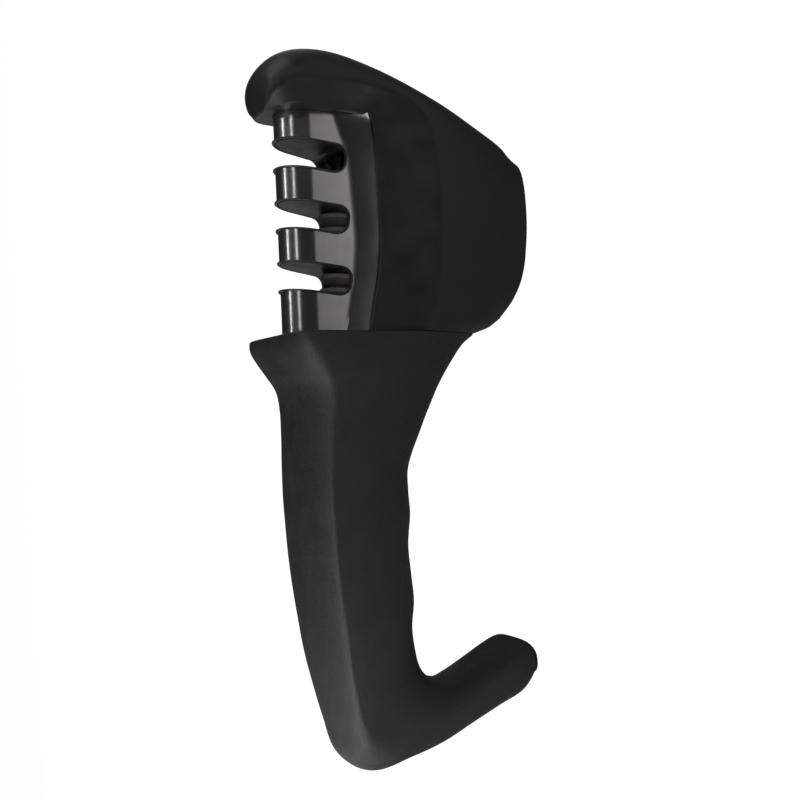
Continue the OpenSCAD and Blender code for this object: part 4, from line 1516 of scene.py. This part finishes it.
@dataclass
class ScrewSet:
    """Cross-recess screws: one tree grows them at the places of a CAD node's screws."""

    head_r: float = 2.5
    shank_r: float = 1.25
    head_t: float = 1.8
    pitch_share: float = 0.7
    thread_share: float = 0.18
    recess_share: float = 0.24
    recess_deep: float = 0.6
    recess_reach: float = 4.2
    foot_share: float = 0.84
    head_sides: int = 40
    shank_sides: int = 24
    turn_steps: int = 20
    ridge_sides: int = 4
    crease: float = 40.0

    def tree(self) -> Growth:
        """Lays out the tree: a threaded shank, a rounded head and its recess on every point.

        Returns:
            The tree.
        """
        sizes = ("Head Radius", "Head Height", "Shank Radius", "Reach", "Pitch", "Thread", "Recess",
                 "Recess Depth")
        growth = Growth("screw_set", {name: "NodeSocketFloat" for name in sizes})
        given, s = growth.given, growth.s
        half = s.math("MULTIPLY", given["Head Height"], 0.5)
        foot_r = s.math("MULTIPLY", given["Head Radius"], self.foot_share)
        lower = growth.add("GeometryNodeMeshCone", Vertices=self.head_sides,
                           Radius_Top=given["Head Radius"], Radius_Bottom=foot_r, Depth=half)
        low = growth.move(lower, growth.vector(z=s.math("MULTIPLY", given["Head Height"], -0.75)))
        upper = growth.add("GeometryNodeMeshCylinder", Vertices=self.head_sides,
                           Radius=given["Head Radius"], Depth=half)
        high = growth.move(upper, growth.vector(z=s.math("MULTIPLY", given["Head Height"], -0.25)))
        wide = s.math("MULTIPLY", given["Recess"], self.recess_reach)
        deep = s.math("MULTIPLY", given["Recess Depth"], 2.0)
        bars = [growth.add("GeometryNodeMeshCube", Size=growth.vector(a, b, deep))
                for a, b in ((wide, given["Recess"]), (given["Recess"], wide))]
        foot = s.math("MULTIPLY", given["Head Height"], -1.0)
        cross = growth.move(growth.solid("UNION", bars[0], [bars[1]]), growth.vector(z=foot))
        head = growth.solid("DIFFERENCE", growth.solid("UNION", low, [high]), [cross])
        core_r = s.math("SUBTRACT", given["Shank Radius"], given["Thread"])
        shank = growth.add("GeometryNodeMeshCylinder", Vertices=self.shank_sides, Radius=core_r,
                           Depth=given["Reach"])
        shank = growth.move(shank, growth.vector(z=s.math("MULTIPLY", given["Reach"], 0.5)))
        climb = s.math("SUBTRACT", given["Reach"], given["Pitch"])
        helix = growth.add("GeometryNodeCurveSpiral", Resolution=self.turn_steps, Height=climb,
                           Rotations=s.math("DIVIDE", climb, given["Pitch"]),
                           Start_Radius=core_r, End_Radius=core_r)
        helix = growth.move(helix, growth.vector(z=s.math("MULTIPLY", given["Pitch"], 0.5)))
        ridge = growth.add("GeometryNodeCurvePrimitiveCircle", Resolution=self.ridge_sides,
                           Radius=given["Thread"])
        thread = growth.add("GeometryNodeCurveToMesh", Curve=helix, Profile_Curve=ridge, Fill_Caps=True)
        way = s.add("GeometryNodeInputNamedAttribute", data_type="FLOAT_VECTOR", Name="way")
        turn = growth.add("FunctionNodeAlignRotationToVector", axis="Z", Vector=way.outputs[0])
        growth.end(growth.add("GeometryNodeInstanceOnPoints", Points=given["Geometry"],
                              Instance=growth.join([head, shank, thread]), Rotation=turn))
        return growth

    def build(self, growth: Growth, shop: "Workshop", cad: Object, way: Point) -> Object:
        """Grows one node's screws where the CAD has them.

        Args:
            growth: The tree.
            shop: The workshop with the materials.
            cad: The CAD node of the screws.
            way: Direction from their heads to their tips.

        Returns:
            The screws as one piece.
        """
        axis = int(np.argmax(np.abs(way)))
        towards = way[axis]
        seats, reach = [], 0.0
        for low, high in islands(cad):
            seat = 0.5 * (low + high)
            seat[axis] = low[axis] + self.head_t if towards > 0 else high[axis] - self.head_t
            reach = float(high[axis] - low[axis]) - self.head_t
            seats.append(seat)
        mesh = bpy.data.meshes.new(cad.name + "_turned")
        mesh.from_pydata([tuple(MM * float(v) for v in p) for p in seats], [], [])
        held = mesh.attributes.new("way", "FLOAT_VECTOR", "POINT")
        held.data.foreach_set("vector", list(way) * len(seats))
        obj = bpy.data.objects.new(cad.name + "_turned", mesh)
        bpy.context.scene.collection.objects.link(obj)
        sizes = {"Head Radius": self.head_r, "Head Height": self.head_t, "Shank Radius": self.shank_r,
                 "Reach": reach, "Pitch": self.pitch_share * self.shank_r,
                 "Thread": self.thread_share * self.shank_r, "Recess": self.recess_share * self.head_r,
                 "Recess Depth": self.recess_deep * self.head_t}
        values = {name: size * MM for name, size in sizes.items()}
        growth.grow(obj, {**values, "Material": shop.materials[Finish.SCREW]})
        smooth(obj, self.crease)
        return obj


@dataclass
class WheelGrit:
    """The bonded diamond grains on the grinding wheels, scattered with a fixed seed."""

    grain: float = 0.11
    density: float = 2.2
    least: float = 0.5
    seed: int = 7

    def build(self, shop: "Workshop", wheel: Object) -> Object:
        """Scatters small grains over one wheel.

        Args:
            shop: The workshop with the materials.
            wheel: The CAD wheel.

        Returns:
            The grains as one piece.
        """
        sockets = {"Grain": "NodeSocketFloat", "Density": "NodeSocketFloat", "Seed": "NodeSocketInt"}
        growth = Growth("wheel_grit", sockets)
        given, s = growth.given, growth.s
        places = s.add("GeometryNodeDistributePointsOnFaces", Mesh=given["Geometry"],
                       Density=given["Density"], Seed=given["Seed"])
        bead = growth.add("GeometryNodeMeshIcoSphere", Radius=given["Grain"], Subdivisions=1)
        odd = s.add("FunctionNodeRandomValue", data_type="FLOAT", Min=self.least, Max=1.0, Seed=given["Seed"])
        size = next(o for o in odd.outputs if o.enabled)
        growth.end(growth.add("GeometryNodeInstanceOnPoints", Points=places.outputs["Points"], Instance=bead,
                              Rotation=places.outputs["Rotation"], Scale=size))
        obj = bpy.data.objects.new(wheel.name + "_grit", wheel.data.copy())
        bpy.context.scene.collection.objects.link(obj)
        obj.data.transform(wheel.matrix_world)
        clean_up(obj)
        return growth.grow(obj, {"Grain": self.grain * MM, "Density": self.density / MM ** 2,
                                 "Seed": self.seed, "Material": shop.materials[Finish.DIAMOND]})


@dataclass
class HandleGrip:
    """The soft skin of the handle, from the guard at the seam to the tip of the hook.

    Each row of ribs gives the lower or inner end's X and Z, the upper or outer end's X and Z, the
    half width, the share at which it is widest, and how square it is below and above that.
    """

    ribs: np.ndarray = field(default_factory=lambda: np.array([
        [0.0914, 0.115, 0.1058, 0.998, 0.452, 0.86, 2.1, 5.6],
        [0.077, 0.176, 0.087, 1.000, 0.450, 0.87, 2.1, 4.6],
        [0.048, 0.250, 0.053, 0.960, 0.428, 0.87, 2.2, 3.0],
        [0.021, 0.308, 0.030, 0.932, 0.402, 0.87, 2.3, 2.5],
        [-0.007, 0.357, 0.002, 0.924, 0.384, 0.87, 2.4, 2.4],
        [-0.035, 0.403, -0.035, 0.927, 0.372, 0.88, 2.5, 2.3],
        [-0.088, 0.480, -0.080, 0.935, 0.362, 0.88, 2.6, 2.2],
        [-0.124, 0.491, -0.122, 0.940, 0.360, 0.88, 2.6, 2.2],
        [-0.158, 0.491, -0.159, 0.940, 0.359, 0.88, 2.6, 2.2],
        [-0.200, 0.510, -0.210, 0.937, 0.356, 0.88, 2.6, 2.2],
        [-0.242, 0.507, -0.256, 0.930, 0.352, 0.88, 2.6, 2.2],
        [-0.279, 0.503, -0.302, 0.921, 0.344, 0.87, 2.6, 2.2],
        [-0.316, 0.519, -0.348, 0.908, 0.330, 0.87, 2.6, 2.2],
        [-0.353, 0.510, -0.394, 0.890, 0.306, 0.86, 2.6, 2.2],
        [-0.380, 0.489, -0.442, 0.869, 0.276, 0.83, 2.6, 2.2],
        [-0.398, 0.450, -0.486, 0.842, 0.262, 0.74, 2.6, 2.3],
        [-0.407, 0.392, -0.511, 0.757, 0.258, 0.64, 2.7, 2.4],
        [-0.409, 0.330, -0.506, 0.630, 0.256, 0.60, 2.8, 2.5],
        [-0.401, 0.248, -0.496, 0.480, 0.256, 0.55, 3.0, 2.7],
        [-0.390, 0.165, -0.477, 0.328, 0.256, 0.50, 3.2, 3.0],
        [-0.378, 0.084, -0.459, 0.186, 0.256, 0.50, 3.4, 3.2],
        [-0.370, 0.036, -0.448, 0.074, 0.255, 0.50, 3.0, 2.8],
        [-0.369, 0.014, -0.427, 0.014, 0.250, 0.50, 2.7, 2.6]]))
    steps: int = 9
    side_steps: int = 34
    guard_r: float = 1.2
    guard_from: float = 0.45
    seam_r: float = 0.5
    tip_r: float = 0.6
    gaps: Pair = (3.7, 1.8)
    guard_turns: tuple[int, ...] = (0, 9, 18, 27, 36, 48, 60, 74, 88)
    tip_turns: tuple[int, ...] = (88, 66, 44, 22, 0)
    apart: float = 0.05
    skin: float = 1.8
    core: Pair = (0.55, 21.6)
    boss_places: tuple[Pair, ...] = ((0.200, 0.480), (0.122, 0.350))
    boss_r: float = 3.6
    boss_l: float = 9.0
    boss_sides: int = 32
    core_steps: int = 8
    least_half: float = 0.3
    crease: float = 38.0

    def ring(self, r: np.ndarray, wall: float, steps: int, above: float = 0.0) -> list[Point]:
        """Gives a closed ring of points round one rib.

        Args:
            r: The rib's row.
            wall: How far it is drawn in.
            steps: Steps in each quarter.
            above: How much further its upper part is drawn in.

        Returns:
            The ring's points.
        """
        low_x, low_z, high_x, high_z, width, top, power, top_power = r
        a0 = np.array([low_x * BODY_L, low_z * BODY_H])
        b0 = np.array([high_x * BODY_L, high_z * BODY_H])
        along = (b0 - a0) / np.linalg.norm(b0 - a0)
        a, b = a0 + wall * along, b0 - (wall + above) * along
        half = max(width * BODY_W - wall, self.least_half)
        side = []
        for k in range(steps + 1):
            f = 0.5 * math.pi * k / steps
            v = top - top * math.cos(f) ** (2 / power) if k < steps else top
            side.append((v, math.sin(f) ** (2 / power)))
        for k in range(1, steps):
            f = 0.5 * math.pi * k / steps
            side.append((top + (1 - top) * math.sin(f) ** (2 / top_power), math.cos(f) ** (2 / top_power)))
        side.append((1.0, 0.0))
        points = []
        for v, w in side:
            share = min(max((v - self.guard_from) / (1 - self.guard_from), 0.0), 1.0)
            drawn = max(half - above * min(2 * share, 1.0), self.least_half)
            points.append((a + (b - a) * v, drawn * w))
        ring = [(p[0], y, p[1]) for p, y in points]
        return ring + [(p[0], -y, p[1]) for p, y in points[-2:0:-1]]

    def outside(self) -> Object:
        """Builds the closed outer form with a rounded guard and a rounded tip.

        Returns:
            The closed object.
        """
        last = len(self.ribs) - 1
        first_gap, last_gap = self.gaps
        starts = [self.guard_r * (1 - math.cos(math.radians(a))) / first_gap for a in self.guard_turns]
        ends = [last - self.tip_r * (1 - math.cos(math.radians(a))) / last_gap for a in self.tip_turns]
        middle = [i / self.steps for i in range(1, last * self.steps)]
        low, high = starts[-1] + self.apart, ends[0] - self.apart
        places = starts + [u for u in middle if low < u < high] + ends
        rings = []
        for u in places:
            wall = round_off(u * first_gap, self.seam_r) + round_off((last - u) * last_gap, self.tip_r)
            above = max(round_off(u * first_gap, self.guard_r) - wall, 0.0) if u < 1 else 0.0
            rings.append(self.ring(blend_rows(self.ribs, u), wall, self.side_steps, above))
        return ring_skin("handle_skin", np.array(rings))

    def build(self) -> Object:
        """Builds the skin with the room for the handle's hard core.

        Returns:
            The skin.
        """
        grip = self.outside()
        count = round(2 * (self.core[1] - self.core[0]))
        span = self.core[1] - self.core[0]
        rows = [blend_rows(self.ribs, self.core[0] + span * i / count) for i in range(count + 1)]
        tools = [ring_skin("tool", np.array([self.ring(r, self.skin, self.core_steps) for r in rows]))]
        for y, z in self.boss_places:
            for s in (-1, 1):
                outline = disc(self.boss_r + SOFT_GAP, self.boss_sides, (s * y * BODY_W, z * BODY_H))
                end = seam_at(z * BODY_H - self.boss_r) - PLAY
                tools.append(prism("tool", outline, 0, end - self.boss_l, SEAM_X + 3))
        combine(grip, tools, "DIFFERENCE")
        clean_up(grip, FINE_MERGE, turn=False)
        smooth(grip, self.crease)
        return grip


@dataclass(frozen=True)
class Lamp:
    """A soft area lamp that the camera doesn't see.

    It stands at a distance from its aim, in metres. Its size is its width along X and its height,
    and its level is how bright its face is. A lamp that isn't glossy doesn't show in reflections.
    """

    name: str
    towards: Point
    size: Pair
    level: float
    distance: float
    aim: Point = (0.0, 0.0, 0.05)
    glossy: bool = True

    def light(self) -> None:
        """Adds the lamp to the scene."""
        data = bpy.data.lights.new(self.name, "AREA")
        data.shape = "RECTANGLE"
        data.size, data.size_y = self.size
        data.energy = self.level * self.size[0] * self.size[1] * math.pi
        obj = bpy.data.objects.new(self.name, data)
        bpy.context.scene.collection.objects.link(obj)
        way = Vector(self.towards).normalized()
        across = (Vector((1, 0, 0)) - way * way.x).normalized()
        turn = Matrix((across, way.cross(across), way)).transposed()
        obj.matrix_world = Matrix.Translation(Vector(self.aim) + way * self.distance) @ turn.to_4x4()
        obj.visible_camera = False
        obj.visible_glossy = self.glossy


LAMPS: tuple[Lamp, ...] = (
    Lamp("rear_strip", (0.0, 0.300, 0.954), (0.36, 0.022), 7.3, 0.6, (0.265, 0.0, 0.05)),
    Lamp("top_strip", (0.0, -0.350, 0.937), (0.36, 0.032), 3.0, 0.6, (0.265, 0.0, 0.05)),
    Lamp("nose_bank", (0.80, 0.12, 0.55), (0.7, 0.8), 0.8, 0.8),
    Lamp("nose_fill", (0.62, -0.70, 0.36), (0.24, 0.6), 0.8, 0.9),
    Lamp("tail_bank", (-0.85, 0.40, 0.40), (0.7, 1.3), 0.85, 0.8),
    Lamp("tail_key", (-0.58, -0.55, 0.60), (0.10, 0.09), 7.5, 0.13, (-0.098, -0.015, 0.066)),
    Lamp("guard_glint", (-0.51, 0.03, 0.86), (0.08, 0.08), 19.0, 0.5, (0.018, -0.02, 0.075)),
    Lamp("front_fill", (-0.10, -0.75, 0.65), (1.0, 1.0), 2.0, 1.0, glossy=False),
)


@dataclass
class Studio:
    """Camera, lamps, floor and world at the photograph's viewing angle.

    Bands are where a level changes, on the floor in metres, and levels are strengths, 1 for white.
    """

    eye: Point = (3.11, -312.22, 197.74)
    right: Point = (-0.07855, -0.45940, -0.88475)
    down: Point = (-0.99689, 0.03036, 0.07274)
    forward: Point = (-0.00656, 0.88771, -0.46035)
    lens: float = 50.0
    film: float = 36.0
    clip: Pair = (0.01, 50.0)
    white: tuple[float, float, float, float] = (1.0, 1.0, 1.0, 1.0)
    sky_through: float = 0.5
    sky_dim: float = 0.09
    sky_band: Pair = (0.86, 0.97)
    sky_levels: Pair = (0.022, 0.05)
    floor_r: float = 6000.0
    floor_sides: int = 64
    floor_seen: float = 0.95
    floor_grey: Point = (0.20, 0.197, 0.194)
    # Painted shadow: the floor's glow in reflections is dimmed close to the part
    painted_shadow_band: Pair = (0.055, 0.13)
    painted_shadow_levels: Pair = (0.02, 1.0)
    # Painted reflection: the glow in reflections fades far from the part
    painted_fade_band: Pair = (0.42, 0.62)
    painted_fade_levels: Pair = (1.0, 0.08)
    # Painted reflection: the glow in reflections is weaker towards the tail and rises over this band along X
    painted_reflection_band: Pair = (0.03, 0.09)
    painted_reflection_levels: Pair = (0.095, 0.27)

    def camera(self) -> None:
        """Sets the camera where the photograph was taken from."""
        data = bpy.data.cameras.new("camera")
        data.lens = self.lens
        data.sensor_width = self.film
        data.clip_start, data.clip_end = self.clip
        obj = bpy.data.objects.new("camera", data)
        bpy.context.scene.collection.objects.link(obj)
        rows = Matrix((self.right, [-v for v in self.down], [-v for v in self.forward])).transposed()
        obj.matrix_world = Matrix.Translation(MM * Vector(self.eye)) @ rows.to_4x4()
        bpy.context.scene.camera = obj

    def world(self) -> None:
        """Gives the world white for the camera and a dim grey for everything else."""
        world = bpy.data.worlds.new("studio")
        bpy.context.scene.world = world
        world.use_nodes = True
        world.node_tree.nodes.clear()
        s = Shades(world.node_tree)
        path = s.add("ShaderNodeLightPath").outputs
        way = s.add("ShaderNodeSeparateXYZ", Vector=s.add("ShaderNodeTexCoord").outputs["Generated"])
        through = s.math("MULTIPLY", path["Is Transmission Ray"], self.sky_through)
        seen = s.math("ADD", path["Is Camera Ray"], through)
        dim = s.math("MULTIPLY", path["Is Diffuse Ray"], self.sky_dim)
        height = s.ramp(way.outputs["Z"], *self.sky_band, self.sky_levels)
        glint = s.math("MULTIPLY", path["Is Glossy Ray"], height)
        level = s.math("ADD", seen, s.math("ADD", dim, glint))
        s.end(s.add("ShaderNodeBackground", Color=self.white, Strength=level), "ShaderNodeOutputWorld")

    def floor(self) -> None:
        """Lays the pale floor, which the camera sees as white and which keeps the shadow; in reflections it
        glows with a painted shadow near the part.
        """
        rim = disc(self.floor_r, self.floor_sides)
        obj = new_object("floor", [(x, y, 0.0) for x, y in rim], [tuple(range(self.floor_sides))])
        mat, s = blank_material("floor")
        path = s.add("ShaderNodeLightPath").outputs
        place = s.add("ShaderNodeSeparateXYZ", Vector=s.add("ShaderNodeTexCoord").outputs["Object"])
        across = s.math("ABSOLUTE", place.outputs["Y"])
        # Painted shadow and painted reflection: the floor's glow in glossy and transmission rays is dimmed
        # near the part and far from it, and changes along X
        near = s.ramp(across, *self.painted_shadow_band, self.painted_shadow_levels)
        painted_shadow_and_fade = s.math("MULTIPLY", near, s.ramp(across, *self.painted_fade_band, self.painted_fade_levels))
        level = s.math("MULTIPLY", painted_shadow_and_fade, s.ramp(place.outputs["X"], *self.painted_reflection_band, self.painted_reflection_levels))
        mirrored = s.math("ADD", path["Is Glossy Ray"], path["Is Transmission Ray"])
        seen = s.math("MULTIPLY", path["Is Camera Ray"], self.floor_seen)
        glow = s.math("ADD", seen, s.math("MULTIPLY", mirrored, level))
        both = s.add("ShaderNodeAddShader")
        shaders = (s.add("ShaderNodeBsdfDiffuse", Color=(*self.floor_grey, 1.0)),
                   s.add("ShaderNodeEmission", Color=self.white, Strength=glow))
        for shader, socket in zip(shaders, both.inputs):
            s.tree.links.new(shader.outputs[0], socket)
        s.end(both)
        obj.data.materials.append(mat)

    def build(self) -> None:
        """Sets up everything round the part."""
        bpy.context.scene.view_settings.view_transform = "Standard"
        self.camera()
        self.world()
        self.floor()
        for lamp in LAMPS:
            lamp.light()


NODE_FINISH: dict[str, Finish] = {
    "stage_chassis": Finish.INNER, "base_plate": Finish.HEAD, "base_pad": Finish.PAD,
    "foot_pad": Finish.PAD, "carbide_holder": Finish.INNER, "carbide_clamp": Finish.SCREW,
    "carbide_plate_near": Finish.CARBIDE, "carbide_plate_far": Finish.CARBIDE,
    "diamond_axle": Finish.SCREW, "diamond_hub": Finish.HUB, "diamond_wheel_front": Finish.DIAMOND,
    "diamond_wheel_rear": Finish.DIAMOND, "ceramic_axle": Finish.SCREW, "ceramic_hub": Finish.HUB,
    "ceramic_wheel_front": Finish.CERAMIC_PAINTED_SHADE, "ceramic_wheel_rear": Finish.CERAMIC_PAINTED_SHADE,
    "handle_core_left": Finish.CORE, "handle_core_right": Finish.CORE, "handle_inserts": Finish.INSERT,
    "base_screws": Finish.SCREW, "chassis_screws": Finish.SCREW, "carbide_screws": Finish.SCREW,
    "core_screws": Finish.SCREW, "handle_screws": Finish.SCREW,
}


def dress_nodes(nodes: dict[str, Object], shop: Workshop) -> None:
    """Gives every CAD node that still shows its procedural material.

    Args:
        nodes: The CAD nodes by name.
        shop: The workshop with the materials.
    """
    for name, finish in NODE_FINISH.items():
        node = nodes[name]
        if node.hide_render:
            continue
        node.data.materials.clear()
        node.data.materials.append(shop.materials[finish])
        log.info("%s: CAD node in %s", name, finish.value)


# Direction from head to tip, radii of head and shank, and height of the head
SCREWS: dict[str, tuple[Point, float, float, float]] = {
    "base_screws": ((0.0, 0.0, 1.0), 2.5, 1.25, 0.95),
    "chassis_screws": ((0.0, 0.0, 1.0), 1.9, 1.0, 1.4),
    "carbide_screws": ((0.0, 1.0, 0.0), 1.5, 0.8, 1.0),
    "core_screws": ((0.0, 1.0, 0.0), 2.5, 1.25, 1.8),
    "handle_screws": ((-1.0, 0.0, 0.0), 2.5, 1.25, 1.8),
}


def dress_fasteners(nodes: dict[str, Object], shop: Workshop) -> None:
    """Grows the screws and the wheels' grains.

    Args:
        nodes: The CAD nodes by name.
        shop: The workshop with the materials.
    """
    growth = ScrewSet().tree()
    for name, (way, head_r, shank_r, head_t) in SCREWS.items():
        screws = ScrewSet(head_r, shank_r, head_t)
        shop.dress(screws.build(growth, shop, nodes[name], way), Finish.SCREW, replaced=(name,))
    for name in ("diamond_wheel_front", "diamond_wheel_rear"):
        shop.dress(WheelGrit().build(shop, nodes[name]), Finish.DIAMOND, Body.DIAMOND)


def main() -> None:
    """Builds the sub-assemblies in order, dresses them and sets up the studio."""
    logging.basicConfig(level=logging.INFO, format="%(message)s")
    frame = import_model()
    shop = Workshop()
    cover = SteelCover()
    shop.dress(HeadShell().build(cover), Finish.HEAD, replaced=("head_housing",))
    shop.dress(cover.build(), Finish.COVER, replaced=("steel_cover",))
    shop.dress(HandleGrip().build(), Finish.GRIP, replaced=("handle_grip",))
    block = SlotBlock()
    shop.dress(block.body(frame["nodes"]["slot_block"]), Finish.SLOT, replaced=("slot_block",))
    shop.dress(block.rims(shop), Finish.SLOT)
    dress_fasteners(frame["nodes"], shop)
    dress_nodes(frame["nodes"], shop)
    Studio().build()


if __name__ == "__main__":
    main()
